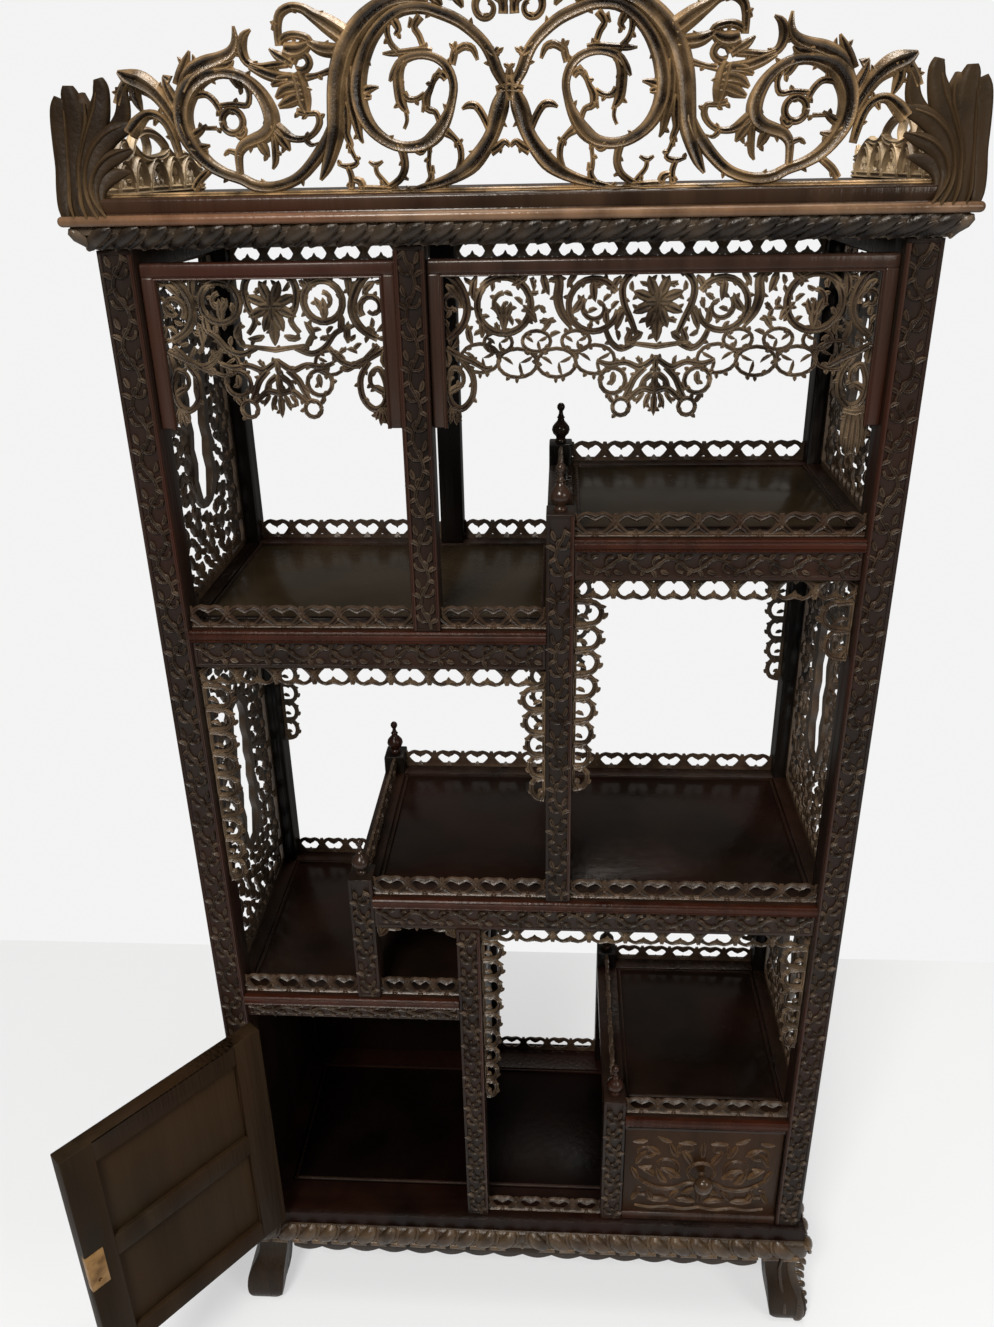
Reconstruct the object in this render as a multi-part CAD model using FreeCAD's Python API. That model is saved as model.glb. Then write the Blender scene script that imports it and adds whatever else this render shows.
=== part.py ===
import FreeCAD, Part
import math
import os

# Chinese display cabinet of carved rosewood: stepped open shelves, a hinged cupboard door and one
# drawer, under an arched pierced crest. Millimetres, +Z up, the front faces -Y, +X is to the right.
# It is drawn about its centre line with the posts' front faces at y = 0, and moved at the end so
# that the origin lies on the floor under the middle of its bounding box.

# Carcass
body_width = 800.0
body_depth = 340.0
outer_post = 35.0
inner_post = 30.0
field_border = 4.0
field_depth = 1.5

# Left faces of the inner posts, from the centre line
divider_x = -113.0
upper_step_x = 33.0
lower_step_x = -213.0
jamb_x = -80.0
drawer_post_x = 114.0

# Shelf tops above the floor
floor_level = 185.0
drawer_top_level = 390.0
lower_left_level = 592.0
middle_level = 754.0
upper_left_level = 1118.0
upper_right_level = 1225.0
cornice_level = 1516.0

# Shelf members and their joints
rail_height = 46.0
lower_rail_height = 36.0
drawer_rail_height = 25.0
rail_setback = 2.0
nosing_height = 13.0
nosing_projection = 5.0
nosing_round = 4.0
tenon_length = 12.0
tenon_thickness = 10.0
tenon_shoulder = 6.0
panel_thickness = 10.0
panel_drop = 1.5
tongue_length = 6.0
tongue_thickness = 5.0
side_panel_thickness = 10.0
top_side_rail_height = 20.0

# Pierced work
gallery_height = 27.0
gallery_setback = 8.0
fret_thickness = 6.0
fret_pitch = 27.0
fret_hole_share = 0.34
strip_height = 28.0
apron_thickness = 8.0
apron_setback = 8.0
side_slot_width = 50.0
side_slot_margin_share = 0.3
side_fret_setback = 12.0

# Upper aprons
apron_frame_gap = 13.0
apron_frame_width = 14.0
apron_frame_drop = 162.0
apron_frame_depth = 16.0
apron_fret_drop = 88.0
apron_pendant_drop = 50.0
pendant_width = 100.0
apron_bracket = (34.0, 56.0)
apron_tassel_bracket = (30.0, 100.0)

# Brackets under the shelves: width and drop
middle_left_bracket_near = (34.0, 300.0)
middle_left_bracket_far = (28.0, 176.0)
middle_right_bracket_near = (33.0, 268.0)
middle_right_bracket_far = (34.0, 96.0)
lower_right_bracket_near = (28.0, 297.0)
lower_right_bracket_far = (30.0, 190.0)
rear_bracket = (36.0, 275.0)
niche_arch_height = 22.0
niche_foot_width = 12.0

# Finials on the step posts
finial_height = 51.0
finial_diameter = 23.0

# Cornice and crest
cornice_overhang = 24.0
rope_height = 22.0
rope_round = 9.0
cornice_height = 24.0
cavetto_size = 15.0
cornice_corner_radius = 22.0
ring_member = 62.0
crest_height = 188.0
crest_thickness = 14.0
crest_setback = 8.0
crest_return_height = 78.0
crest_return_thickness = 10.0
crest_return_scallops = 4

# Base and feet
floor_thickness = 20.0
floor_overhang = 8.0
floor_member = 56.0
roll_height = 36.0
roll_overhang = 22.0
roll_round = 15.0
skirt_height = 21.0
skirt_thickness = 16.0
skirt_setback = 10.0
scallop_width = 44.0
foot_width = 70.0
foot_overhang = 14.0

# Door
door_gap = 1.5
door_rise = 2.0
door_thickness = 22.0
door_stile = 40.0
door_rail = 32.0
door_mid_rail_level = 358.0
door_panel_thickness = 9.0
door_panel_recess = 6.0
door_open_angle = 129.0
hinge_leaf = 1.2
hinge_leaf_gap = 0.3
hinge_projection = 4.0
hinge_height = 48.0
hinge_knuckle_radius = 3.4
hinge_pin_radius = 1.7
hinge_clearance = 0.06
knuckle_gap = 0.4
hinge_inset = 45.0
pull_diameter = 18.0
pull_length = 21.0
pull_level = 400.0
lock_width = 24.0
lock_depth = 9.0
lock_height = 60.0
lock_level = 330.0
bolt_length = 17.0
bolt_thickness = 4.0
bolt_height = 12.0
bolt_throw = 7.0
bolt_clearance = 0.3
keyhole_radius = 2.5

# Drawer
drawer_gap = 1.0
drawer_running_gap = 0.3
drawer_setback = 3.0
drawer_front_thickness = 20.0
drawer_side_thickness = 10.0
drawer_bottom_thickness = 6.0
drawer_side_height = 135.0
drawer_back_gap = 12.0
drawer_field_margin = 16.0
drawer_field_height = 2.0
blade_height = 14.5
blade_depth = 30.0
runner_width = 20.0
runner_height = 12.0
knob_diameter = 28.0
knob_length = 30.0

overrun = 1.0

# Outlines as shares of the sizes that they follow
finial_profile_shares = [
    (0.58, 0.0), (0.55, 0.14), (0.93, 0.24), (1.0, 0.34), (0.78, 0.46),
    (0.36, 0.57), (0.25, 0.68), (0.28, 0.80), (0.47, 0.90), (0.34, 0.97)]
knob_profile_shares = [
    (0.42, 0.0), (0.34, 0.2), (0.8, 0.4), (1.0, 0.62), (0.72, 0.85), (0.3, 0.97)]
foot_outer_shares = [
    (0.80, 1.0), (0.74, 0.82), (0.78, 0.62), (0.95, 0.42), (1.0, 0.24), (0.97, 0.08), (0.88, 0.0)]
foot_inner_shares = [(0.16, 0.0), (0.08, 0.2), (0.03, 0.5), (0.0, 1.0)]
bracket_outline_shares = [
    (0.0, 0.0), (1.0, 0.0), (1.0, 0.16), (0.72, 0.22), (0.84, 0.36), (0.6, 0.5),
    (0.7, 0.64), (0.44, 0.76), (0.52, 0.9), (0.3, 1.0), (0.0, 0.96)]
pendant_outline_shares = [
    (-1.0, 0.0), (-1.0, 0.3), (-0.78, 0.48), (-0.82, 0.7), (-0.55, 0.84), (-0.3, 0.78), (0.0, 1.0),
    (0.3, 0.78), (0.55, 0.84), (0.82, 0.7), (0.78, 0.48), (1.0, 0.3), (1.0, 0.0)]

# Round openings in a pendant: place across, place down, radius as a share of the drop
pendant_eye_shares = [(-0.6, 0.5, 0.14), (-0.24, 0.3, 0.12), (0.24, 0.3, 0.12), (0.6, 0.5, 0.14)]
crest_outline_shares = [
    (-0.965, 0.05), (-0.985, 0.2), (-1.0, 0.42), (-0.985, 0.5), (-0.945, 0.51), (-0.908, 0.475),
    (-0.86, 0.55), (-0.81, 0.585), (-0.755, 0.55), (-0.67, 0.625), (-0.59, 0.665), (-0.53, 0.71),
    (-0.47, 0.795), (-0.41, 0.81), (-0.35, 0.785), (-0.29, 0.8), (-0.24, 0.825), (-0.17, 0.84),
    (-0.1, 0.88), (-0.04, 0.925), (0.0, 1.0)]

# Round openings between the scrolls: place across, place up, radius
crest_eye_shares = [
    (0.185, 0.436, 0.06), (0.6, 0.33, 0.055), (0.33, 0.16, 0.06), (0.44, 0.14, 0.055),
    (0.44, 0.42, 0.08), (0.47, 0.62, 0.07), (0.36, 0.62, 0.055), (0.76, 0.44, 0.05),
    (0.765, 0.28, 0.08), (0.83, 0.12, 0.05), (0.9, 0.3, 0.06), (0.035, 0.55, 0.04),
    (0.04, 0.3, 0.05)]

# Curved openings inside the scrolls: place across, place up, inner and outer radius, turn, turn
crest_scroll_shares = [
    (0.19, 0.436, 0.13, 0.25, -0.22, 0.3), (0.185, 0.436, 0.12, 0.21, 0.36, 0.68),
    (0.608, 0.33, 0.11, 0.19, -0.28, 0.2), (0.608, 0.33, 0.11, 0.17, 0.3, 0.62)]
crest_round_share = 0.443

X_AXIS = FreeCAD.Vector(1, 0, 0)
Y_AXIS = FreeCAD.Vector(0, 1, 0)
Z_AXIS = FreeCAD.Vector(0, 0, 1)

half_width = body_width / 2
left_face = -half_width + outer_post
right_face = half_width - outer_post
front_face = outer_post
rear_face = body_depth - outer_post
post_middle = outer_post / 2

pieces = []


# Every piece is kept with its tenons, which the pieces around it are cut to receive
def add(node, body, tenons=()):
    pieces.append((node, body, list(tenons)))


def block(x0, x1, y0, y1, z0, z1):
    return Part.makeBox(x1 - x0, y1 - y0, z1 - z0, FreeCAD.Vector(x0, y0, z0))


def polygon_face(corners):
    return Part.Face(Part.makePolygon(corners + corners[:1]))


def front_prism(points, y0, y1):
    face = polygon_face([FreeCAD.Vector(x, y0, z) for x, z in points])
    return face.extrude(Y_AXIS * (y1 - y0))


def side_prism(points, x0, x1):
    face = polygon_face([FreeCAD.Vector(x0, y, z) for y, z in points])
    return face.extrude(X_AXIS * (x1 - x0))


def plan_prism(points, z0, z1):
    face = polygon_face([FreeCAD.Vector(x, y, z0) for x, y in points])
    return face.extrude(Z_AXIS * (z1 - z0))


def turned(profile_shares, diameter, height):
    points = [FreeCAD.Vector(r * diameter / 2, 0, z * height) for r, z in profile_shares]
    curve = Part.BSplineCurve()
    curve.interpolate(points)
    foot = FreeCAD.Vector(0, 0, 0)
    tip = FreeCAD.Vector(0, 0, height)
    edges = [Part.makeLine(foot, points[0]), curve.toShape()]
    edges.append(Part.makeLine(points[-1], tip))
    edges.append(Part.makeLine(tip, foot))
    return Part.Face(Part.Wire(edges)).revolve(foot, Z_AXIS, 360)


def moved(shape, x, y, z):
    copy = shape.copy()
    copy.translate(FreeCAD.Vector(x, y, z))
    return copy


# A flat strip with rows of round holes, from one corner along two unit directions
def hole_wires(corner, along, across, length, height):
    columns = max(1, round(length / fret_pitch))
    rows = max(1, round(height / fret_pitch))
    pitch_along = length / columns
    pitch_across = height / rows
    radius = min(pitch_along, pitch_across) * fret_hole_share
    hole_normal = across.cross(along)
    wires = []
    for column in range(columns):
        for row in range(rows):
            middle = corner + along * ((column + 0.5) * pitch_along)
            middle = middle + across * ((row + 0.5) * pitch_across)
            wires.append(Part.Wire(Part.Circle(middle, hole_normal, radius).toShape()))
    return wires


def pierced(corner, along, across, through, length, height, thickness):
    corners = [corner, corner + along * length, corner + along * length + across * height]
    corners.append(corner + across * height)
    wires = [Part.makePolygon(corners + corners[:1])]
    wires += hole_wires(corner, along, across, length, height)
    return Part.Face(wires).extrude(through * thickness)


# Posts
def post_tenon(x_middle, y_middle, z0, z1):
    half = tenon_thickness / 2
    return block(x_middle - half, x_middle + half, y_middle - half, y_middle + half, z0, z1)


def post(node, x0, width, y0, z0, z1, carved, tenon_top):
    body = block(x0, x0 + width, y0, y0 + outer_post, z0, z1)
    if carved:
        field = block(x0 + field_border, x0 + width - field_border, y0 - overrun, y0 + field_depth,
                      z0 + field_border, z1 - field_border)
        body = body.cut(field)
    middle = x0 + width / 2
    y_middle = y0 + outer_post / 2
    tenons = [post_tenon(middle, y_middle, z0 - tenon_length, z0)]
    if tenon_top:
        tenons.append(post_tenon(middle, y_middle, z1, z1 + tenon_length))
    add(node, body, tenons)


def outer_posts():
    for side, x0 in (("left", -half_width), ("right", right_face)):
        post("front_post_" + side, x0, outer_post, 0, floor_level, cornice_level, True, True)
        post("rear_post_" + side, x0, outer_post, rear_face, floor_level, cornice_level, False, True)


step_posts = (
    (upper_step_x, upper_right_level + gallery_height),
    (lower_step_x, middle_level + gallery_height),
    (drawer_post_x, drawer_top_level + gallery_height))


def inner_posts():
    step_top = middle_level + gallery_height
    layout = (
        ("upper_divider_post", divider_x, upper_left_level, cornice_level, True),
        ("upper_step_post", upper_step_x, middle_level, upper_right_level + gallery_height, False),
        ("lower_step_post", lower_step_x, lower_left_level, step_top, False),
        ("cupboard_jamb_post", jamb_x, floor_level, middle_level - rail_height, True),
        ("drawer_bay_post", drawer_post_x, floor_level, drawer_top_level + gallery_height, False))
    for node, x0, z0, z1, tenon_top in layout:
        post(node, x0, inner_post, 0, z0, z1, True, tenon_top)
        post("rear_inner_posts", x0, inner_post, rear_face, z0, z1, False, tenon_top)


def finials():
    shape = turned(finial_profile_shares, finial_diameter, finial_height)
    for x0, top in step_posts:
        for y in (post_middle, body_depth - post_middle):
            add("step_post_finials", moved(shape, x0 + inner_post / 2, y, top))


# Shelves
def rail_tenon(x0, x1, y_middle, z0, z1):
    half = tenon_thickness / 2
    return block(x0, x1, y_middle - half, y_middle + half, z0 + tenon_shoulder, z1 - tenon_shoulder)


def bearer_tenon(x_middle, y0, y1, z0, z1):
    half = tenon_thickness / 2
    return block(x_middle - half, x_middle + half, y0, y1, z0 + tenon_shoulder, z1 - tenon_shoulder)


def front_rail(x0, x1, z0, z1):
    body = block(x0, x1, rail_setback, front_face, z0, z1)
    nose_front = rail_setback - nosing_projection
    nosing = block(x0, x1, nose_front, rail_setback, z1 - nosing_height, z1)
    rounded = [edge for edge in nosing.Edges if edge.BoundBox.YMax < nose_front + overrun / 2
               and edge.BoundBox.XLength > nosing_height]
    body = body.fuse(nosing.makeFillet(nosing_round, rounded)).removeSplitter()
    field_top = z1 - nosing_height - field_border
    field = block(x0 + field_border, x1 - field_border, rail_setback - overrun,
                  rail_setback + field_depth, z0 + field_border, field_top)
    return body.cut(field)


def rail_ends(x0, x1, y_middle, z0, z1):
    left = rail_tenon(x0 - tenon_length, x0, y_middle, z0, z1)
    right = rail_tenon(x1, x1 + tenon_length, y_middle, z0, z1)
    return [left, right]


def bearer(node, x0, x1, z0, z1):
    body = block(x0, x1, front_face, rear_face, z0, z1)
    middle = (x0 + x1) / 2
    length = outer_post / 2 - tenon_thickness / 2
    front = bearer_tenon(middle, front_face - length, front_face, z0, z1)
    rear = bearer_tenon(middle, rear_face, rear_face + length, z0, z1)
    add(node, body, [front, rear])


def floating_panel(node, x0, x1, y0, y1, z_top, tongue_top):
    body = block(x0, x1, y0, y1, z_top - panel_drop - panel_thickness, z_top - panel_drop)
    tongue_bottom = tongue_top - tongue_thickness
    tongues = [
        block(x0 - tongue_length, x0, y0, y1, tongue_bottom, tongue_top),
        block(x1, x1 + tongue_length, y0, y1, tongue_bottom, tongue_top),
        block(x0, x1, y0 - tongue_length, y0, tongue_bottom, tongue_top),
        block(x0, x1, y1, y1 + tongue_length, tongue_bottom, tongue_top)]
    add(node, body, tongues)


def shelf(name, x0, x1, left_bearer, right_bearer, level, height):
    frame = name + "_shelf_frame"
    bottom = level - height
    add(frame, front_rail(x0, x1, bottom, level), rail_ends(x0, x1, post_middle, bottom, level))
    rear = block(x0, x1, rear_face, body_depth - rail_setback, bottom, level)
    add(frame, rear, rail_ends(x0, x1, body_depth - post_middle, bottom, level))
    bearer(frame, left_bearer[0], left_bearer[1], bottom, level)
    bearer(frame, right_bearer[0], right_bearer[1], bottom, level)
    tongue_top = level - panel_drop - (panel_thickness - tongue_thickness) / 2
    floating_panel(name + "_shelf_panel", x0, x1, front_face, rear_face, level, tongue_top)


left_side = (-half_width + rail_setback, left_face)
right_side = (right_face, half_width - rail_setback)


def at_post(x0):
    return (x0, x0 + inner_post)


def shelves():
    shelf("upper_left", left_face, upper_step_x, left_side, at_post(upper_step_x),
          upper_left_level, rail_height)
    shelf("upper_right", upper_step_x + inner_post, right_face, at_post(upper_step_x), right_side,
          upper_right_level, rail_height)
    shelf("middle", lower_step_x + inner_post, right_face, at_post(lower_step_x), right_side,
          middle_level, rail_height)
    shelf("lower_left", left_face, jamb_x, left_side, at_post(jamb_x),
          lower_left_level, lower_rail_height)
    shelf("drawer_top", drawer_post_x + inner_post, right_face, at_post(drawer_post_x), right_side,
          drawer_top_level, drawer_rail_height)


# Floor of the cabinet, with mitred corners, under the posts
def mitred_ring(slab, x0, x1, y0, y1, member, z0, z1):
    inner = (x0 + member, x1 - member, y0 + member, y1 - member)
    quarters = (
        ((x0, y0), (x1, y0), (inner[1], inner[2]), (inner[0], inner[2])),
        ((x1, y0), (x1, y1), (inner[1], inner[3]), (inner[1], inner[2])),
        ((x1, y1), (x0, y1), (inner[0], inner[3]), (inner[1], inner[3])),
        ((x0, y1), (x0, y0), (inner[0], inner[2]), (inner[0], inner[3])))
    return [slab.common(plan_prism(points, z0, z1)) for points in quarters]


def floor_frame():
    x1 = half_width + floor_overhang
    z0 = floor_level - floor_thickness
    slab = block(-x1, x1, -floor_overhang, body_depth, z0, floor_level)
    members = mitred_ring(slab, -x1, x1, -floor_overhang, body_depth, floor_member, z0, floor_level)
    for member in members:
        add("base_floor_frame", member)
    inner_x = x1 - floor_member
    tongue_top = floor_level - panel_drop - (panel_thickness - tongue_thickness) / 2
    floating_panel("base_floor_panel", -inner_x, inner_x, floor_member - floor_overhang,
                   body_depth - floor_member, floor_level, tongue_top)


# A board with rounded front corners and softened front and side edges
def rounded_board(overhang, z0, z1, corner_radius):
    x1 = half_width + overhang
    slab = block(-x1, x1, -overhang, body_depth, z0, z1)
    corners = [edge for edge in slab.Edges if edge.BoundBox.ZLength > (z1 - z0) / 2
               and edge.BoundBox.YMax < 0]
    return slab.makeFillet(corner_radius, corners)


def outline_edges(slab, level):
    back = body_depth - overrun
    return [edge for edge in slab.Edges if edge.BoundBox.ZMax < level + overrun / 2
            and edge.BoundBox.ZMin > level - overrun / 2 and edge.BoundBox.YMin < back]


def base():
    z1 = floor_level - floor_thickness
    z0 = z1 - roll_height
    slab = rounded_board(roll_overhang, z0, z1, cornice_corner_radius)
    slab = slab.makeFillet(roll_round, outline_edges(slab, z0) + outline_edges(slab, z1))
    x1 = half_width + roll_overhang
    for member in mitred_ring(slab, -x1, x1, -roll_overhang, body_depth, ring_member, z0, z1):
        add("base_moulding", member)
    base_skirt(z0)
    feet(z0)


def scalloped(length, z_top):
    count = max(1, round(length / scallop_width))
    pitch = length / count
    wave = skirt_height / 3
    steps = 8
    points = [(0, z_top)]
    for index in range(count * steps + 1):
        turn = math.pi * index / steps
        points.append((pitch * index / steps, z_top - skirt_height + wave - wave * abs(math.sin(turn))))
    points.append((length, z_top))
    return points


def base_skirt(z_top):
    foot_x = half_width + foot_overhang - foot_width
    front = front_prism([(x - foot_x, z) for x, z in scalloped(2 * foot_x, z_top)],
                        -skirt_setback, skirt_thickness - skirt_setback)
    add("base_skirt", front)
    y0 = foot_width - foot_overhang
    y1 = body_depth - foot_width
    side = [(y + y0, z) for y, z in scalloped(y1 - y0, z_top)]
    x1 = half_width + skirt_setback
    add("base_skirt", side_prism(side, -x1, skirt_thickness - x1))
    add("base_skirt", side_prism(side, x1 - skirt_thickness, x1))


def foot_face(height, across):
    outer = [across(u * foot_width, v * height) for u, v in foot_outer_shares]
    inner = [across(u * foot_width, v * height) for u, v in foot_inner_shares]
    outer_curve = Part.BSplineCurve()
    outer_curve.interpolate(outer)
    inner_curve = Part.BSplineCurve()
    inner_curve.interpolate(inner)
    edges = [outer_curve.toShape(), Part.makeLine(outer[-1], inner[0])]
    edges.append(inner_curve.toShape())
    edges.append(Part.makeLine(inner[-1], outer[0]))
    return Part.Face(Part.Wire(edges))


def feet(height):
    facing_front = foot_face(height, lambda u, z: FreeCAD.Vector(u, 0, z))
    facing_side = foot_face(height, lambda u, z: FreeCAD.Vector(0, u, z))
    corner = facing_front.extrude(Y_AXIS * foot_width).common(facing_side.extrude(X_AXIS * foot_width))
    origin = FreeCAD.Vector(0, 0, 0)
    x0 = half_width + foot_overhang - foot_width
    across_x = corner.mirror(origin, X_AXIS)
    add("feet", moved(corner, x0, body_depth - foot_width, 0))
    add("feet", moved(across_x, -x0, body_depth - foot_width, 0))
    y0 = foot_width - foot_overhang
    add("feet", moved(corner.mirror(origin, Y_AXIS), x0, y0, 0))
    add("feet", moved(across_x.mirror(origin, Y_AXIS), -x0, y0, 0))


# Galleries that stand on the shelf edges
def gallery_x(node, x0, x1, y0, level):
    corner = FreeCAD.Vector(x0, y0, level)
    add(node, pierced(corner, X_AXIS, Z_AXIS, Y_AXIS, x1 - x0, gallery_height, fret_thickness))


def galleries():
    upper_end = upper_step_x + inner_post
    runs = (
        (left_face, divider_x, upper_left_level),
        (divider_x + inner_post, upper_step_x, upper_left_level),
        (upper_end, right_face, upper_right_level),
        (lower_step_x + inner_post, upper_step_x, middle_level),
        (upper_end, right_face, middle_level),
        (left_face, lower_step_x, lower_left_level),
        (lower_step_x + inner_post, jamb_x, lower_left_level),
        (drawer_post_x + inner_post, right_face, drawer_top_level),
        (jamb_x + inner_post, drawer_post_x, floor_level))
    for x0, x1, level in runs:
        gallery_x("front_galleries", x0, x1, gallery_setback, level)
        gallery_x("rear_galleries", x0, x1, body_depth - gallery_setback - fret_thickness, level)
    for x0, top in step_posts:
        corner = FreeCAD.Vector(x0 + (inner_post - fret_thickness) / 2, front_face, top - gallery_height)
        strip = pierced(corner, Y_AXIS, Z_AXIS, X_AXIS, rear_face - front_face, gallery_height,
                        fret_thickness)
        add("step_galleries", strip)


# Aprons
def pierced_strip_below(node, x0, x1, z_top, y0):
    corner = FreeCAD.Vector(x0, y0, z_top - strip_height)
    add(node, pierced(corner, X_AXIS, Z_AXIS, Y_AXIS, x1 - x0, strip_height, apron_thickness))


def bracket(node, x_post, inward, z_top, size, y0):
    width, drop = size
    points = [(x_post + inward * u * width, z_top - v * drop) for u, v in bracket_outline_shares]
    add(node, front_prism(points, y0, y0 + apron_thickness))


def shelf_apron(node, x0, x1, level, near, far, y0):
    z_top = level - rail_height
    pierced_strip_below(node, x0, x1, z_top, y0)
    below = z_top - strip_height
    bracket(node, x0, 1, below, (near[0], near[1] - strip_height), y0)
    bracket(node, x1, -1, below, (far[0], far[1] - strip_height), y0)


def lower_aprons():
    upper_end = upper_step_x + inner_post
    jamb_end = jamb_x + inner_post
    shelf_apron("apron_middle_left", left_face, upper_step_x, upper_left_level,
                middle_left_bracket_near, middle_left_bracket_far, apron_setback)
    shelf_apron("apron_middle_right", upper_end, right_face, upper_right_level,
                middle_right_bracket_near, middle_right_bracket_far, apron_setback)
    shelf_apron("apron_lower_right", jamb_end, right_face, middle_level,
                lower_right_bracket_near, lower_right_bracket_far, apron_setback)
    rear = body_depth - apron_setback - apron_thickness
    shelf_apron("rear_aprons", left_face, upper_step_x, upper_left_level, rear_bracket, rear_bracket, rear)
    shelf_apron("rear_aprons", upper_end, right_face, upper_right_level, rear_bracket, rear_bracket, rear)
    shelf_apron("rear_aprons", jamb_end, right_face, middle_level, rear_bracket, rear_bracket, rear)


def niche_apron():
    x0 = lower_step_x + inner_post
    x1 = jamb_x
    z1 = middle_level - rail_height
    z0 = z1 - niche_arch_height
    corners = [(x0, z1), (x0, z0), (x0 + niche_foot_width, z0)]
    start = x0 + niche_foot_width
    span = x1 - niche_foot_width - start
    rise = niche_arch_height / 2
    steps = 16
    for index in range(1, steps):
        share = index / steps
        corners.append((start + span * share, z0 + rise * math.sin(math.pi * share)))
    corners += [(x1 - niche_foot_width, z0), (x1, z0), (x1, z1)]
    add("apron_niche", front_prism(corners, apron_setback, apron_setback + apron_thickness))


def apron_pendant(node, middle, fret_bottom, y0):
    half = pendant_width / 2
    points = [(middle + u * half, fret_bottom - v * apron_pendant_drop) for u, v in pendant_outline_shares]
    body = front_prism(points, y0, y0 + apron_thickness)
    for u, v, radius in pendant_eye_shares:
        start = FreeCAD.Vector(middle + u * half, y0, fret_bottom - v * apron_pendant_drop)
        body = body.cut(Part.makeCylinder(radius * apron_pendant_drop, apron_thickness, start, Y_AXIS))
    add(node, body)


def upper_apron(node, x0, x1, right_bracket):
    z1 = cornice_level - apron_frame_gap
    z0 = z1 - apron_frame_drop
    rail_bottom = z1 - apron_frame_width
    y1 = apron_setback + apron_frame_depth
    add(node, block(x0, x1, apron_setback, y1, rail_bottom, z1))
    add(node, block(x0, x0 + apron_frame_width, apron_setback, y1, z0, rail_bottom))
    add(node, block(x1 - apron_frame_width, x1, apron_setback, y1, z0, rail_bottom))
    inner_x = x0 + apron_frame_width
    length = x1 - x0 - 2 * apron_frame_width
    y_fret = apron_setback + (apron_frame_depth - apron_thickness) / 2
    fret_bottom = rail_bottom - apron_fret_drop
    corner = FreeCAD.Vector(inner_x, y_fret, fret_bottom)
    add(node, pierced(corner, X_AXIS, Z_AXIS, Y_AXIS, length, apron_fret_drop, apron_thickness))
    apron_pendant(node, (x0 + x1) / 2, fret_bottom, y_fret)
    bracket(node, inner_x, 1, fret_bottom, apron_bracket, y_fret)
    bracket(node, x1 - apron_frame_width, -1, fret_bottom, right_bracket, y_fret)


def upper_aprons():
    upper_apron("apron_upper_left", left_face, divider_x, apron_bracket)
    upper_apron("apron_upper_right", divider_x + inner_post, right_face, apron_tassel_bracket)


# Sides and rear of the upper part
def side_fret(node, x0, z0, z1):
    margin = (z1 - z0) * side_slot_margin_share
    strip = (rear_face - front_face - side_slot_width) / 2
    y1 = front_face + strip
    y2 = rear_face - strip
    outline = [(front_face, z0), (rear_face, z0), (rear_face, z1), (front_face, z1), (front_face, z0)]
    slot = [(y1, z0 + margin), (y1, z1 - margin), (y2, z1 - margin), (y2, z0 + margin), (y1, z0 + margin)]
    wires = [Part.makePolygon([FreeCAD.Vector(x0, y, z) for y, z in outline])]
    wires.append(Part.makePolygon([FreeCAD.Vector(x0, y, z) for y, z in slot]))
    regions = (
        (front_face, z0, strip, z1 - z0), (y2, z0, strip, z1 - z0),
        (y1, z0, side_slot_width, margin), (y1, z1 - margin, side_slot_width, margin))
    for y, z, width, height in regions:
        wires += hole_wires(FreeCAD.Vector(x0, y, z), Y_AXIS, Z_AXIS, width, height)
    add(node, Part.Face(wires).extrude(X_AXIS * fret_thickness))


def side_frets():
    top = cornice_level - top_side_rail_height
    left_x = -half_width + side_fret_setback
    right_x = half_width - side_fret_setback - fret_thickness
    side_fret("left_side_frets", left_x, upper_left_level, top)
    side_fret("left_side_frets", left_x, lower_left_level, upper_left_level - rail_height)
    side_fret("right_side_frets", right_x, upper_right_level, top)
    side_fret("right_side_frets", right_x, middle_level, upper_right_level - rail_height)
    side_fret("right_side_frets", right_x, drawer_top_level, middle_level - rail_height)


def top_side_rails():
    z0 = cornice_level - top_side_rail_height
    bearer("top_side_rails", left_side[0], left_side[1], z0, cornice_level)
    bearer("top_side_rails", right_side[0], right_side[1], z0, cornice_level)


def rear_frieze():
    z0 = cornice_level - strip_height
    y0 = body_depth - gallery_setback - fret_thickness
    for x0, x1 in ((left_face, divider_x), (divider_x + inner_post, right_face)):
        corner = FreeCAD.Vector(x0, y0, z0)
        add("rear_top_frieze", pierced(corner, X_AXIS, Z_AXIS, Y_AXIS, x1 - x0, strip_height,
                                       fret_thickness))


# Solid panels of the cupboard and the drawer bay
def side_panel(node, x_middle, z1):
    x0 = x_middle - side_panel_thickness / 2
    x1 = x_middle + side_panel_thickness / 2
    body = block(x0, x1, front_face, rear_face, floor_level, z1)
    front = block(x0, x1, front_face - tongue_length, front_face, floor_level, z1)
    rear = block(x0, x1, rear_face, rear_face + tongue_length, floor_level, z1)
    add(node, body, [front, rear])


def back_panel(node, x0, x1, z1):
    y0 = body_depth - post_middle - side_panel_thickness / 2
    y1 = y0 + side_panel_thickness
    body = block(x0, x1, y0, y1, floor_level, z1)
    left = block(x0 - tongue_length, x0, y0, y1, floor_level, z1)
    right = block(x1, x1 + tongue_length, y0, y1, floor_level, z1)
    add(node, body, [left, right])


def panels():
    cupboard_top = lower_left_level - lower_rail_height
    drawer_bay_top = drawer_top_level - drawer_rail_height
    side_middle = half_width - post_middle
    side_panel("cupboard_side_panel", -side_middle, cupboard_top)
    side_panel("cupboard_divider_panel", jamb_x + inner_post / 2, cupboard_top)
    back_panel("cupboard_back_panel", left_face, jamb_x, cupboard_top)
    side_panel("drawer_bay_panels", drawer_post_x + inner_post / 2, drawer_bay_top)
    side_panel("drawer_bay_panels", side_middle, drawer_bay_top)
    back_panel("drawer_bay_panels", drawer_post_x + inner_post, right_face, drawer_bay_top)


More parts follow.
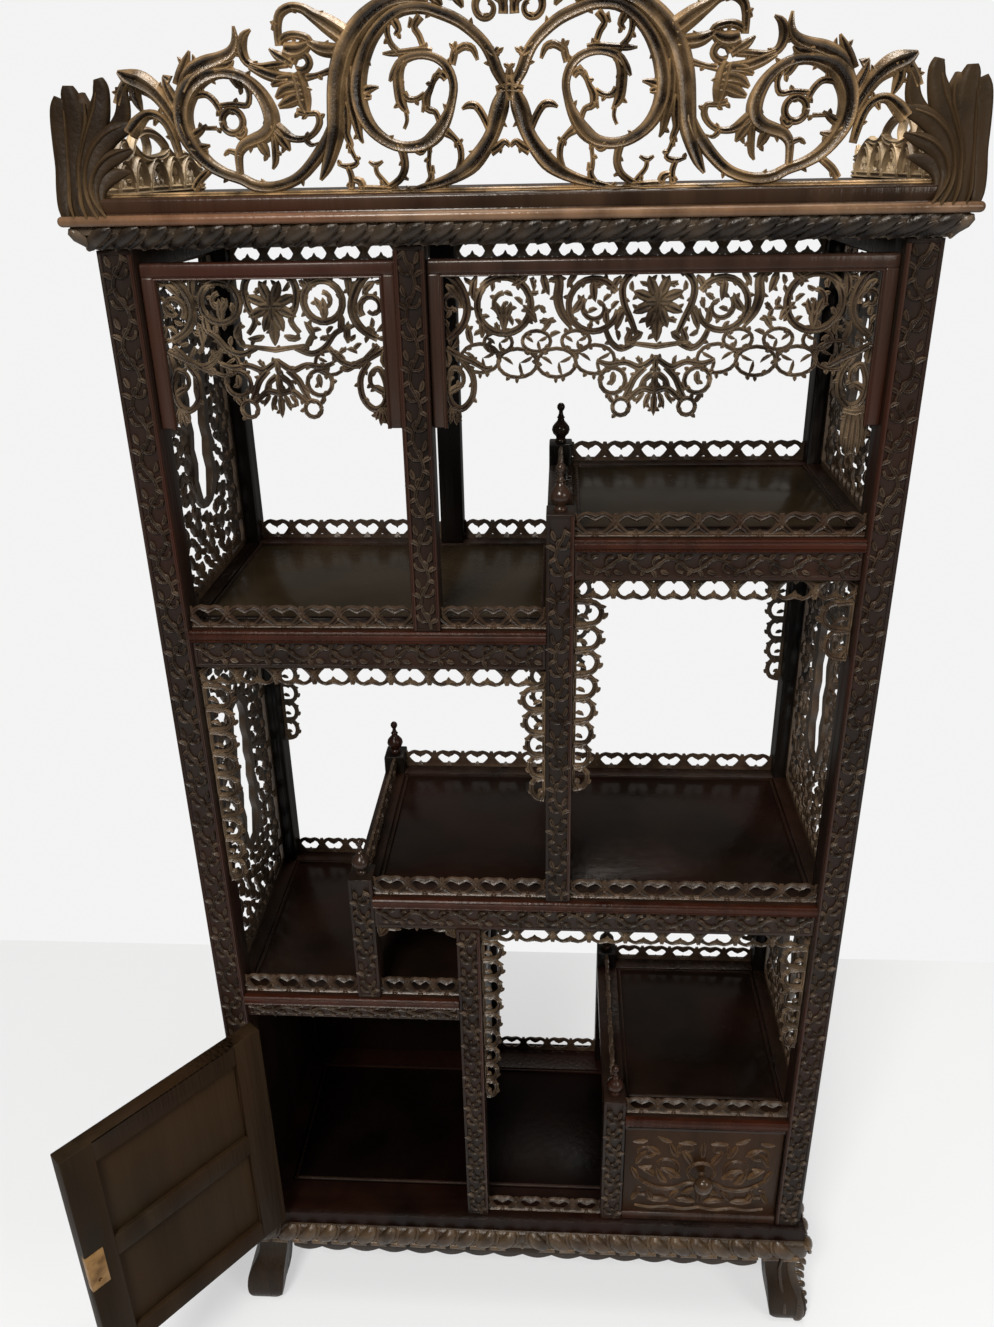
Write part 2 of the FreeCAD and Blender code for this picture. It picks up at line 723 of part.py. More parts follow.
# Cornice and crest
def cornice():
    z1 = cornice_level + rope_height
    x1 = half_width + cornice_overhang
    slab = block(-x1, x1, -cornice_overhang, body_depth, cornice_level, z1)
    slab = slab.makeFillet(rope_round, outline_edges(slab, cornice_level) + outline_edges(slab, z1))
    ring = mitred_ring(slab, -x1, x1, -cornice_overhang, body_depth, ring_member, cornice_level, z1)
    for member in ring:
        add("cornice_rope_moulding", member)
    top = z1 + cornice_height
    board = rounded_board(cornice_overhang, z1, top, cornice_corner_radius)
    add("cornice_board", board.makeChamfer(cavetto_size, outline_edges(board, top)))


def crest_opening(points):
    curve = Part.BSplineCurve()
    curve.interpolate(Points=points, PeriodicFlag=True)
    return Part.Wire(curve.toShape())


# The openings follow the crest's width and height, so that the scrolls keep their places
def crest_wires(half, z0, y0):
    def place(side, u, v, radius, turn):
        angle = 2 * math.pi * turn
        across = side * half * (u + crest_round_share * radius * math.cos(angle))
        return FreeCAD.Vector(across, y0, z0 + crest_height * (v + radius * math.sin(angle)))

    wires = []
    steps = 8
    for side in (-1, 1):
        for u, v, radius in crest_eye_shares:
            turns = [index / steps for index in range(steps)]
            wires.append(crest_opening([place(side, u, v, radius, side * turn) for turn in turns]))
        for u, v, inner, outer, start, end in crest_scroll_shares:
            turns = [start + (end - start) * index / steps for index in range(steps + 1)]
            corners = [place(side, u, v, outer, turn) for turn in turns]
            corners += [place(side, u, v, inner, turn) for turn in reversed(turns)]
            if side == -1:
                corners.reverse()
            wires.append(crest_opening(corners))
    return wires


def crest():
    half = half_width + cornice_overhang
    z0 = cornice_level + rope_height + cornice_height
    y0 = -crest_setback
    left = [(u * half, z0 + v * crest_height) for u, v in crest_outline_shares]
    right = [(-x, z) for x, z in reversed(left[:-1])]
    points = [FreeCAD.Vector(x, y0, z) for x, z in left + right]
    curve = Part.BSplineCurve()
    curve.interpolate(points)
    foot_left = FreeCAD.Vector(points[0].x, y0, z0)
    foot_right = FreeCAD.Vector(points[-1].x, y0, z0)
    edges = [Part.makeLine(foot_left, points[0]), curve.toShape()]
    edges.append(Part.makeLine(points[-1], foot_right))
    edges.append(Part.makeLine(foot_right, foot_left))
    wires = [Part.Wire(edges)] + crest_wires(half, z0, y0)
    plate = Part.Face(wires).extrude(Y_AXIS * crest_thickness)
    middle_cut = block(0, 2 * half, y0 - overrun, crest_thickness, z0 - overrun, z0 + 2 * crest_height)
    add("crest_front", plate.cut(middle_cut))
    add("crest_front", plate.common(middle_cut))
    crest_returns(z0, y0 + crest_thickness)


def crest_returns(z0, y0):
    length = body_depth - y0
    steps = 8 * crest_return_scallops
    wave = crest_return_height / 5
    points = [(y0, z0)]
    for index in range(steps + 1):
        turn = math.pi * index * crest_return_scallops / steps
        z = z0 + crest_return_height - wave + wave * abs(math.sin(turn))
        points.append((y0 + length * index / steps, z))
    points.append((body_depth, z0))
    x1 = half_width - rail_setback
    add("crest_left_return", side_prism(points, -x1, crest_return_thickness - x1))
    add("crest_right_return", side_prism(points, x1 - crest_return_thickness, x1))


# Door, drawn closed and then swung open about its hinges
hinge_x = left_face + hinge_leaf + hinge_leaf_gap / 2
hinge_y = -hinge_projection
door_x0 = hinge_x + hinge_leaf_gap / 2 + hinge_leaf
door_x1 = jamb_x - door_gap
door_z0 = floor_level + door_rise
door_z1 = lower_left_level - lower_rail_height - door_rise


def swung(shape):
    copy = shape.copy()
    copy.rotate(FreeCAD.Vector(hinge_x, hinge_y, 0), Z_AXIS, -door_open_angle)
    return copy


def add_to_door(node, body, cuts=()):
    for cut in cuts:
        body = body.cut(cut)
    add(node, swung(body))


def door_panel_solid(z0, z1):
    x0 = door_x0 + door_stile
    x1 = door_x1 - door_stile
    y0 = door_panel_recess
    body = block(x0, x1, y0, y0 + door_panel_thickness, z0, z1)
    y_tongue = y0 + (door_panel_thickness - tongue_thickness) / 2
    tongue = block(x0 - tongue_length, x1 + tongue_length, y_tongue, y_tongue + tongue_thickness,
                   z0, z1)
    tongue_up = block(x0, x1, y_tongue, y_tongue + tongue_thickness,
                      z0 - tongue_length, z1 + tongue_length)
    return body.fuse([tongue, tongue_up]).removeSplitter()


def lock_solids():
    y1 = door_thickness
    y0 = y1 - lock_depth
    x0 = door_x1 - lock_width
    case = block(x0, door_x1, y0, y1, lock_level, lock_level + lock_height)
    y_bolt = (y0 + y1 - bolt_thickness) / 2
    z_bolt = lock_level + (lock_height - bolt_height) / 2
    bolt_x0 = door_x1 - bolt_length
    bolt = block(bolt_x0, door_x1, y_bolt, y_bolt + bolt_thickness, z_bolt, z_bolt + bolt_height)
    slot = block(bolt_x0 - bolt_clearance, door_x1 + overrun, y_bolt - bolt_clearance,
                 y_bolt + bolt_thickness + bolt_clearance, z_bolt - bolt_clearance,
                 z_bolt + bolt_height + bolt_clearance)
    keyhole = Part.makeCylinder(keyhole_radius, lock_depth,
                                FreeCAD.Vector(x0 + lock_width / 2, y_bolt, lock_level + bolt_height),
                                Y_AXIS)
    case_solid = case.cut(slot).cut(keyhole)
    strike = block(jamb_x, jamb_x + bolt_throw, y_bolt - bolt_clearance,
                   y_bolt + bolt_thickness + bolt_clearance, z_bolt - bolt_clearance,
                   z_bolt + bolt_height + bolt_clearance)
    return case, case_solid, bolt, strike


def door():
    case, case_solid, bolt, strike = lock_solids()
    mid_top = door_mid_rail_level + door_rail
    lower = door_panel_solid(door_z0 + door_rail, door_mid_rail_level)
    upper = door_panel_solid(mid_top, door_z1 - door_rail)
    inner_x0 = door_x0 + door_stile
    inner_x1 = door_x1 - door_stile
    y1 = door_thickness
    members = [
        block(door_x0, inner_x0, 0, y1, door_z0, door_z1),
        block(inner_x1, door_x1, 0, y1, door_z0, door_z1),
        block(inner_x0, inner_x1, 0, y1, door_z0, door_z0 + door_rail),
        block(inner_x0, inner_x1, 0, y1, door_mid_rail_level, mid_top),
        block(inner_x0, inner_x1, 0, y1, door_z1 - door_rail, door_z1)]
    for member in members:
        add_to_door("door_frame", member, [lower, upper, case])
    add_to_door("door_panels", lower)
    add_to_door("door_panels", upper)
    add_to_door("door_lock", case_solid)
    add_to_door("lock_bolt", bolt)
    pull = turned(knob_profile_shares, pull_diameter, pull_length)
    pull.rotate(FreeCAD.Vector(0, 0, 0), X_AXIS, 90)
    add_to_door("door_pull", moved(pull, door_x1 - door_stile / 2, 0, pull_level))
    return strike


def hinge_barrel(radius, z0, height):
    return Part.makeCylinder(radius, height, FreeCAD.Vector(hinge_x, hinge_y, z0))


# The outer knuckles and the pin belong to the post's leaf, the middle knuckle to the door's leaf
def hinges():
    third = hinge_height / 3
    fixed_x1 = left_face + hinge_leaf
    moving_x0 = door_x0 - hinge_leaf
    leaf_depth = front_face / 2
    room = hinge_knuckle_radius + door_gap
    for z0 in (door_z0 + hinge_inset, door_z1 - hinge_inset - hinge_height):
        z1 = z0 + hinge_height
        fixed = block(left_face, fixed_x1, hinge_y, leaf_depth, z0, z1)
        moving = block(moving_x0, door_x0, hinge_y, leaf_depth, z0, z1)
        moving = moving.fuse(hinge_barrel(hinge_knuckle_radius, z0 + third, third))
        fixed = fixed.fuse([hinge_barrel(hinge_knuckle_radius, z, third) for z in (z0, z0 + 2 * third)])
        fixed = fixed.cut(hinge_barrel(room, z0 + third - knuckle_gap, third + 2 * knuckle_gap))
        for z in (z0 - overrun, z0 + 2 * third - knuckle_gap):
            moving = moving.cut(hinge_barrel(room, z, third + overrun + knuckle_gap))
        moving = moving.cut(hinge_barrel(hinge_pin_radius + hinge_clearance, z0, hinge_height))
        fixed = fixed.fuse(hinge_barrel(hinge_pin_radius, z0, hinge_height)).removeSplitter()
        add("hinge_fixed_leaves", fixed)
        add("hinge_moving_leaves", swung(moving.removeSplitter()))


# Drawer and its runners
def drawer():
    blade_top = floor_level + blade_height
    bay_x0 = drawer_post_x + inner_post
    x0 = bay_x0 + drawer_gap
    x1 = right_face - drawer_gap
    y0 = drawer_setback
    y1 = y0 + drawer_front_thickness
    z0 = blade_top + drawer_gap
    z1 = drawer_top_level - drawer_rail_height - drawer_gap
    front = block(x0, x1, y0, y1, z0, z1)
    margin = drawer_field_margin
    field = block(x0 + margin, x1 - margin, y0 - drawer_field_height, y0, z0 + margin, z1 - margin)
    add("drawer_front", front.fuse(field).removeSplitter())
    side_z0 = blade_top + drawer_running_gap
    side_z1 = side_z0 + drawer_side_height
    back_y1 = rear_face - drawer_back_gap
    back_y0 = back_y1 - drawer_side_thickness
    side_x = (x0, x1 - drawer_side_thickness)
    for x in side_x:
        add("drawer_box", block(x, x + drawer_side_thickness, y1, back_y1, side_z0, side_z1))
    inner_x0 = x0 + drawer_side_thickness
    inner_x1 = x1 - drawer_side_thickness
    add("drawer_box", block(inner_x0, inner_x1, back_y0, back_y1, side_z0, side_z1))
    add("drawer_box", block(inner_x0, inner_x1, y1, back_y0, z0, z0 + drawer_bottom_thickness))
    knob = turned(knob_profile_shares, knob_diameter, knob_length)
    knob.rotate(FreeCAD.Vector(0, 0, 0), X_AXIS, 90)
    add("drawer_knob", moved(knob, (x0 + x1) / 2, y0 - drawer_field_height, (z0 + z1) / 2))
    blade = block(bay_x0, right_face, rail_setback, rail_setback + blade_depth, floor_level, blade_top)
    add("drawer_runners", blade)
    runner_z0 = blade_top - runner_height
    panel_x0 = drawer_post_x + (inner_post + side_panel_thickness) / 2
    panel_x1 = half_width - post_middle - side_panel_thickness / 2
    y_run = max(front_face, rail_setback + blade_depth)
    add("drawer_runners", block(panel_x0, bay_x0 + runner_width, y_run, rear_face, runner_z0, blade_top))
    add("drawer_runners", block(right_face - runner_width, panel_x1, y_run, rear_face, runner_z0,
                                blade_top))


outer_posts()
inner_posts()
finials()
shelves()
floor_frame()
base()
galleries()
lower_aprons()
niche_apron()
upper_aprons()
side_frets()
top_side_rails()
rear_frieze()
panels()
cornice()
crest()
hinges()
drawer()
bolt_strike = door()


def reach_into(a, b):
    gap = overrun / 100
    across_x = min(a.XMax, b.XMax) - max(a.XMin, b.XMin) > gap
    across_y = min(a.YMax, b.YMax) - max(a.YMin, b.YMin) > gap
    return across_x and across_y and min(a.ZMax, b.ZMax) - max(a.ZMin, b.ZMin) > gap


# Cut every piece to receive the tenons of its neighbours, then join its own tenons to it
def finished_pieces():
    tenons = []
    for index, piece in enumerate(pieces):
        tenons += [(index, tenon) for tenon in piece[2]]
    nodes = {}
    for index, (node, body, own) in enumerate(pieces):
        if node == "cupboard_jamb_post":
            body = body.cut(bolt_strike)
        box = body.BoundBox
        for owner, tenon in tenons:
            if owner != index and reach_into(box, tenon.BoundBox):
                body = body.cut(tenon)
        if own:
            body = body.fuse(own).removeSplitter()
        nodes.setdefault(node, []).extend(body.Solids)
    return nodes


def export(nodes):
    everything = Part.makeCompound([solid for solids in nodes.values() for solid in solids])
    box = everything.BoundBox
    shift = FreeCAD.Vector(-box.Center.x, -box.Center.y, -box.ZMin)
    os.makedirs("parts", exist_ok=True)
    for node, solids in nodes.items():
        shape = solids[0] if len(solids) == 1 else Part.makeCompound(solids)
        shape = shape.copy()
        shape.translate(shift)
        shape.exportStep("parts/" + node + ".step")
        print(node, len(solids), round(shape.Volume), shape.isValid())
    print("size", round(box.XLength, 1), round(box.YLength, 1), round(box.ZLength, 1))
    print("shift", round(shift.x, 4), round(shift.y, 4), round(shift.z, 4))


export(finished_pieces())
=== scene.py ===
import math
import bpy
from mathutils import Matrix, Vector


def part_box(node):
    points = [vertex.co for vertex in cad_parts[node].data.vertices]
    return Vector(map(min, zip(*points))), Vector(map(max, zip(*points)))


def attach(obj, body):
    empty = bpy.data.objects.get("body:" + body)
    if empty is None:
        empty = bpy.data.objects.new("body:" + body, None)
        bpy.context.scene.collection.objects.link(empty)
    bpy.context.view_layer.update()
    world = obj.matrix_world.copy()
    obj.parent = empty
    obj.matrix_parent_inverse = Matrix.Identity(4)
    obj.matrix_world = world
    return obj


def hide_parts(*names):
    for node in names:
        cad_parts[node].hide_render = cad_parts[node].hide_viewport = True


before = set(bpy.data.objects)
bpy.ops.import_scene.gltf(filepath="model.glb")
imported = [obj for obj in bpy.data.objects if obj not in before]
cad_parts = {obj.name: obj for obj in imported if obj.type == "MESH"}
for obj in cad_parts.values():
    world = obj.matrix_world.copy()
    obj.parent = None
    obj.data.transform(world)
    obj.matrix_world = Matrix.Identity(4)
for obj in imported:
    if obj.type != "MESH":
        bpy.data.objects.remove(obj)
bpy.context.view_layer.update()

# Place of the cabinet: the middle between its two front posts and the plane of their front faces.
# Everything below is set out from these two and from the CAD pieces' own boxes, in metres.
left_post_low, left_post_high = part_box("front_post_left")
right_post_low, right_post_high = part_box("front_post_right")
middle_x = (left_post_low.x + right_post_high.x) / 2
front_y = left_post_low.y
rear_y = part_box("rear_post_left")[1].y

# Camera: a wide lens, close to the cabinet at about eye height, looking down at it
# and a little to its left, as in the photograph.
lens_mm = 29.1
sensor_mm = 36.0
camera_right = 0.047
camera_ahead = 1.080
eye_height = 1.5873
camera_pan, camera_dip, camera_roll = 3.62, 25.1, -1.13
camera_data = bpy.data.cameras.new("camera")
camera_data.lens = lens_mm
camera_data.sensor_width = sensor_mm
camera = bpy.data.objects.new("camera", camera_data)
bpy.context.scene.collection.objects.link(camera)
camera.matrix_world = (
    Matrix.Translation((middle_x + camera_right, front_y - camera_ahead, eye_height))
    @ Matrix.Rotation(math.radians(camera_pan), 4, "Z")
    @ Matrix.Rotation(math.radians(90 - camera_dip), 4, "X")
    @ Matrix.Rotation(math.radians(camera_roll), 4, "Z"))
bpy.context.scene.camera = camera
bpy.context.scene.view_settings.view_transform = "Standard"


# A node's output, usable in sums: value * 2, 1 - value and so on add their Math nodes.
class Value:
    def __init__(self, finish, socket):
        self.finish = finish
        self.socket = socket

    def sum(self, operation, first, second):
        return self.finish.node("ShaderNodeMath", {"operation": operation}, [first, second])

    def __add__(self, other):
        return self.sum("ADD", self, other)

    def __sub__(self, other):
        return self.sum("SUBTRACT", self, other)

    def __mul__(self, other):
        return self.sum("MULTIPLY", self, other)

    def __radd__(self, other):
        return self.sum("ADD", other, self)

    def __rsub__(self, other):
        return self.sum("SUBTRACT", other, self)

    def __rmul__(self, other):
        return self.sum("MULTIPLY", other, self)

    def span(self, low, high, to_low=0.0, to_high=1.0):
        return self.finish.node("ShaderNodeMapRange", {"clamp": True},
                                [self, low, high, to_low, to_high])


# A finish: one material with its shader's plain values, and the nodes that vary over the surface.
class Finish:
    def __init__(self, name, **plain):
        self.material = bpy.data.materials.new(name)
        self.material.use_nodes = True
        self.tree = self.material.node_tree
        self.shader = self.tree.nodes["Principled BSDF"]
        for socket, value in plain.items():
            self.shader.inputs[socket.replace("_", " ")].default_value = value

    def node(self, kind, settings={}, sockets=(), out=0):
        node = self.tree.nodes.new(kind)
        for name, value in settings.items():
            setattr(node, name, value)
        named = sockets.items() if isinstance(sockets, dict) else enumerate(sockets)
        for key, value in named:
            if isinstance(value, Value):
                self.tree.links.new(value.socket, node.inputs[key])
            else:
                node.inputs[key].default_value = value
        return Value(self, node.outputs[out])

    def place(self, scale):
        coordinates = self.node("ShaderNodeTexCoord", out=3)
        return self.node("ShaderNodeMapping", {}, {"Vector": coordinates, "Scale": scale})

    def noise(self, scale, detail, stretch=(1, 1, 1)):
        return self.node("ShaderNodeTexNoise", {},
                         {"Vector": self.place(stretch), "Scale": scale, "Detail": detail})

    # The blend of two colours, each a (red, green, blue) tone or a node's output
    def mix(self, share, first, second):
        first, second = ((*tone, 1) if isinstance(tone, tuple) else tone for tone in (first, second))
        return self.node("ShaderNodeMix", {"data_type": "RGBA"},
                         {0: share, 6: first, 7: second}, out=2)

    def feed(self, socket, value):
        self.tree.links.new(value.socket, self.shader.inputs[socket])
        return self

    def bump(self, height, distance):
        value = self.node("ShaderNodeBump", {}, {"Height": height, "Distance": distance, "Strength": 1.0})
        return self.feed("Normal", value)


# Floor and backdrop: a plain pale studio floor that ends well behind the cabinet, under a pale
# backdrop. The floor looks near white to the camera and keeps the cabinet's shadow.
bpy.ops.mesh.primitive_plane_add(size=1, location=(middle_x, front_y - 4.2, 0))
floor = bpy.context.active_object
floor.name = "floor"
floor_wide, floor_deep = 14.0, 10.0
floor.scale = (floor_wide, floor_deep, 1.0)
bpy.ops.object.transform_apply(location=True, rotation=True, scale=True)
paper = Finish("pale_paper", Roughness=0.95, Specular_IOR_Level=0.1, Base_Color=(0.74, 0.78, 0.84, 1))
seen_share = paper.node("ShaderNodeLightPath") * 0.55
glow = paper.node("ShaderNodeEmission", {}, {"Color": (0.88, 0.88, 0.88, 1)})
surface = paper.node("ShaderNodeMixShader", {}, [seen_share, Value(paper, paper.shader.outputs[0]), glow])
paper.tree.links.new(surface.socket, paper.tree.nodes["Material Output"].inputs["Surface"])
floor.data.materials.append(paper.material)

world = bpy.data.worlds.new("studio")
world.use_nodes = True
bpy.context.scene.world = world
nodes = world.node_tree.nodes
light_path = nodes.new("ShaderNodeLightPath")
soft = nodes["Background"]
soft.inputs["Color"].default_value = (1.0, 0.96, 0.90, 1)
soft.inputs["Strength"].default_value = 0.16
backdrop = nodes.new("ShaderNodeBackground")
backdrop.inputs["Color"].default_value = (0.90, 0.90, 0.90, 1)
backdrop.inputs["Strength"].default_value = 1.0
blend = nodes.new("ShaderNodeMixShader")
for source, target in ((light_path.outputs["Is Camera Ray"], blend.inputs[0]),
                       (soft.outputs[0], blend.inputs[1]), (backdrop.outputs[0], blend.inputs[2]),
                       (blend.outputs[0], nodes["World Output"].inputs["Surface"])):
    world.node_tree.links.new(source, target)

# Lamps: a soft box in front of the cabinet to the upper left, weaker and larger ones to the right,
# above and behind. Places and aims are set out from the front's middle.
lamp_tone = (1.0, 0.94, 0.86)
for name, place, aim, size, watts in (
        ("key_lamp", (-0.7, -2.4, 3.1), (0, 0.1, 0.9), 0.8, 115.0),
        ("fill_lamp", (2.2, -2.2, 2.2), (0, 0.1, 0.8), 1.2, 40.0),
        ("top_lamp", (0.2, -0.1, 3.6), (0, 0.2, 0.6), 1.6, 60.0),
        ("rear_lamp", (0.3, 1.9, 4.4), (0, 0.3, 0.8), 1.2, 55.0)):
    lamp_data = bpy.data.lights.new(name, "AREA")
    lamp_data.size = size
    lamp_data.energy = watts
    lamp_data.color = lamp_tone
    lamp = bpy.data.objects.new(name, lamp_data)
    bpy.context.scene.collection.objects.link(lamp)
    start = Vector((middle_x + place[0], front_y + place[1], place[2]))
    end = Vector((middle_x + aim[0], front_y + aim[1], aim[2]))
    look = (end - start).to_track_quat("-Z", "Y").to_matrix().to_4x4()
    lamp.matrix_world = Matrix.Translation(start) @ look


# Posts of the carcass: two carved front posts, two plain rear ones and the shorter posts between the
# shelves, all of dark lacquered rosewood. Every edge is eased by hand, and each front face has a
# sunk field with a running vine carved in it and a reddish bead along the field's inner edge.
def wood(name, dark, light, gloss, grain, bump, red=(0.030, 0.007, 0.003), sheen=0.22):
    along = (1.0, 1.0, 0.09)
    pore_along = (1.0, 1.0, 0.05)
    finish = Finish(name, Specular_IOR_Level=sheen)
    figure = finish.noise(grain, 5.0, along)
    clouds = finish.noise(5.0, 3.0)
    pores = finish.noise(grain * 7, 3.0, pore_along)
    tone = finish.mix(figure.span(0.35, 0.7), dark, light)
    tone = finish.mix(clouds.span(0.45, 0.72, 0.0, 0.75), tone, red)
    finish.feed("Base Color", tone)
    dullness = clouds.span(0.3, 0.75, gloss - 0.08, gloss + 0.12) + pores.span(0.4, 0.7, 0.0, 0.06)
    finish.feed("Roughness", dullness)
    return finish.bump(pores.span(0.35, 0.65) * 0.6 + figure * 0.4, bump)


# Carved wood: dirt and painted shade in the creases, wear and painted highlight on the ridges, and worn and
# reddish patches
def carved(name, hollow, raised, rubbed, gloss, patch, red=0.3, edge=(0.51, 0.62), sheen=0.42):
    # A darker copy of the ground for the creases: dirt and painted shade
    crease_dirt_and_shade = tuple(0.35 * part for part in hollow)
    half_worn = tuple(0.83 * low + 0.17 * high for low, high in zip(hollow, raised))
    reddish = (2.4 * hollow[0], 1.1 * hollow[1], 0.8 * hollow[2])
    finish = Finish(name, Specular_IOR_Level=sheen)
    ridge = finish.node("ShaderNodeNewGeometry", out=7)
    worn = finish.noise(patch, 4.0).span(0.35, 0.68, 1.0 - rubbed, 1.0)
    fine = finish.noise(patch * 14, 3.0)
    # Ridges, in worn patches, take the raised tone: rubbed wear and painted highlight
    high = ridge.span(*edge) * worn
    # Creases fade to the darker copy: dirt and painted shade
    crease_dirt_and_shade_tone = finish.mix(ridge.span(0.36, 0.50), crease_dirt_and_shade, hollow)
    tone = finish.mix(finish.noise(0.6 * patch, 3.0).span(0.46, 0.60), crease_dirt_and_shade_tone, half_worn)
    tone = finish.mix(high, tone, raised)
    warm = finish.noise(11.0, 2.0).span(0.4, 0.7, 0.0, red)
    finish.feed("Base Color", finish.mix(warm, tone, reddish))
    finish.feed("Roughness", fine.span(0.3, 0.7, gloss, gloss + 0.16) - high * 0.04)
    return finish.bump(fine, 0.0005)


post_wood = wood("dark_post_rosewood", (0.0068, 0.0042, 0.0030), (0.0145, 0.0092, 0.0064), 0.34, 26.0,
                 0.0004, (0.020, 0.0060, 0.0030), 0.16)


# Names and stains a finished piece and settles it on its body
def settle(piece, name, finish, body, slot, *nodes):
    piece.name = name
    piece.data.name = name
    piece.data.materials.clear()
    piece.data.materials.append(finish.material)
    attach(piece, body)
    if nodes:
        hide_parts(*nodes)
    return piece


# Makes one piece the only selected and active one
def only(piece):
    bpy.ops.object.select_all(action="DESELECT")
    piece.select_set(True)
    bpy.context.view_layer.objects.active = piece
    return piece


# One piece made of several
def joined(pieces):
    bpy.ops.object.select_all(action="DESELECT")
    for piece in pieces:
        piece.select_set(True)
    bpy.context.view_layer.objects.active = pieces[0]
    if len(pieces) > 1:
        bpy.ops.object.join()
    return bpy.context.active_object


# A plain piece of the carcass with its sharp edges eased
def eased(node, finish, body, slot, width=0.0012, segments=2):
    piece = bpy.data.objects.new(node + "_eased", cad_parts[node].data.copy())
    bpy.context.scene.collection.objects.link(piece)
    only(piece)
    bpy.ops.object.mode_set(mode="EDIT")
    bpy.ops.mesh.select_all(action="SELECT")
    bpy.ops.mesh.remove_doubles(threshold=0.00001)
    bpy.ops.mesh.dissolve_limited(angle_limit=math.radians(1.0))
    bpy.ops.object.mode_set(mode="OBJECT")
    bevel = piece.modifiers.new("eased", "BEVEL")
    bevel.width = width
    bevel.segments = segments
    bevel.limit_method = "ANGLE"
    bevel.angle_limit = math.radians(40)
    bpy.ops.object.modifier_apply(modifier=bevel.name)
    bpy.ops.object.shade_smooth_by_angle(angle=math.radians(35))
    return settle(piece, node + "_eased", finish, body, slot, node)


# Carving: a stroke is one sweep of the gouge, a list of (across, up, half width) in millimetres on
# the carved face, some with a lift off it. A gouge's outline is for a half width of 1, front side up.
gouges = {
    "stem": ((-1, -0.9), (-1, 0.1), (-0.62, 0.78), (-0.1, 0.32), (0.3, 0.7), (0.72, 0.74), (1, 0.1),
             (1, -0.9)),
    "leaf": ((-1, -0.7), (-0.95, 0.05), (-0.48, 0.75), (0, 0.3), (0.48, 0.75), (0.95, 0.05), (1, -0.7)),
    "vine": ((-1, -0.8), (-0.75, 0.45), (0, 0.9), (0.75, 0.45), (1, -0.8))}


# Sweeps a gouge along all strokes, with the face's origin at a place and turned about the upright
def carve(strokes, gouge, at, turn=0.0):
    section = bpy.data.curves.new("section", "CURVE")
    outline = section.splines.new("POLY")
    outline.points.add(len(gouges[gouge]) - 1)
    for point, (across, up) in zip(outline.points, gouges[gouge]):
        point.co = (across, up, 0, 1)
    outline.use_cyclic_u = True
    section_piece = bpy.data.objects.new("section", section)
    bpy.context.scene.collection.objects.link(section_piece)
    line = bpy.data.curves.new("strokes", "CURVE")
    line.dimensions = "3D"
    line.twist_mode = "Z_UP"
    line.bevel_mode = "OBJECT"
    line.bevel_object = section_piece
    line.use_fill_caps = True
    for stroke in strokes:
        spline = line.splines.new("POLY")
        spline.points.add(len(stroke) - 1)
        for point, place in zip(spline.points, stroke):
            lift = place[3] if len(place) > 3 else 0.0
            point.co = (place[0] / 1000, place[1] / 1000, lift / 1000, 1)
            point.radius = place[2] / 1000
    piece = bpy.data.objects.new("strokes", line)
    bpy.context.scene.collection.objects.link(piece)
    only(piece)
    bpy.ops.object.convert(target="MESH")
    piece = bpy.context.active_object
    bpy.data.objects.remove(section_piece)
    piece.data.transform(Matrix.Translation(at) @ Matrix.Rotation(math.radians(turn), 4, "Z")
                         @ Matrix.Rotation(math.radians(90), 4, "X"))
    bpy.ops.object.mode_set(mode="EDIT")
    bpy.ops.mesh.select_all(action="SELECT")
    bpy.ops.mesh.remove_doubles(threshold=0.000002)
    bpy.ops.mesh.normals_make_consistent(inside=False)
    bpy.ops.object.mode_set(mode="OBJECT")
    bpy.ops.object.shade_smooth_by_angle(angle=math.radians(48))
    return piece


# A smooth line through a few points
def flowing(points, steps=4):
    line = []
    ends = [points[0]] + list(points) + [points[-1]]
    for p, q, r, s in zip(ends, ends[1:], ends[2:], ends[3:]):
        for step in range(steps):
            t = step / steps
            line.append(tuple(0.5 * (2 * b + (c - a) * t + (2 * a - 5 * b + 4 * c - d) * t * t
                                     + (3 * b - a - 3 * c + d) * t ** 3) for a, b, c, d in zip(p, q, r, s)))
    line.append(tuple(points[-1]))
    return line


# A short leaf from its foot in one heading, bending as it goes
def leaf(x, z, heading, length, half, bend=0.0):
    points = []
    last = 0.0
    for share, width in ((0, 0.35), (0.3, 0.95), (0.62, 0.9), (0.86, 0.5), (1, 0.06)):
        angle = math.radians(heading + bend * share)
        x += length * (share - last) * math.cos(angle)
        z += length * (share - last) * math.sin(angle)
        points.append((x, z, width * half))
        last = share
    return points


# A scroll round a middle, from one radius to another
def coil(x, z, radius_0, radius_1, turn_0, turn_1, half_0, half_1, steps):
    points = []
    for step in range(steps + 1):
        share = step / steps
        angle = math.radians(turn_0 + (turn_1 - turn_0) * share)
        radius = radius_0 + (radius_1 - radius_0) * share
        points.append((x + radius * math.cos(angle), z + radius * math.sin(angle),
                       half_0 + (half_1 - half_0) * share))
    return points


# The same strokes on the other side of the middle
def mirrored(strokes):
    return [[(-place[0],) + tuple(place[1:]) for place in stroke] for stroke in strokes]


# The same strokes moved over the face
def shifted(strokes, across, up):
    return [[(place[0] + across, place[1] + up) + tuple(place[2:]) for place in stroke]
            for stroke in strokes]


# The seven posts of the front, and the plain ones behind them
front_posts = ["front_post_left", "front_post_right", "upper_divider_post", "upper_step_post",
               "lower_step_post", "cupboard_jamb_post", "drawer_bay_post"]
for node in front_posts:
    eased(node, post_wood, "cabinet", "carved_rosewood")
# The rear posts get a near-black copy of the post wood: painted shade where they stand back in the dark
shaded_rear_wood = wood("shaded_rear_post_rosewood", (0.0026, 0.0020, 0.0017), (0.0060, 0.0046, 0.0038), 0.34, 26.0,
                 0.0004, (0.0070, 0.0035, 0.0025), 0.14)
for node in ("rear_post_left", "rear_post_right", "rear_inner_posts"):
    eased(node, shaded_rear_wood, "cabinet", "dark_rosewood", 0.002)


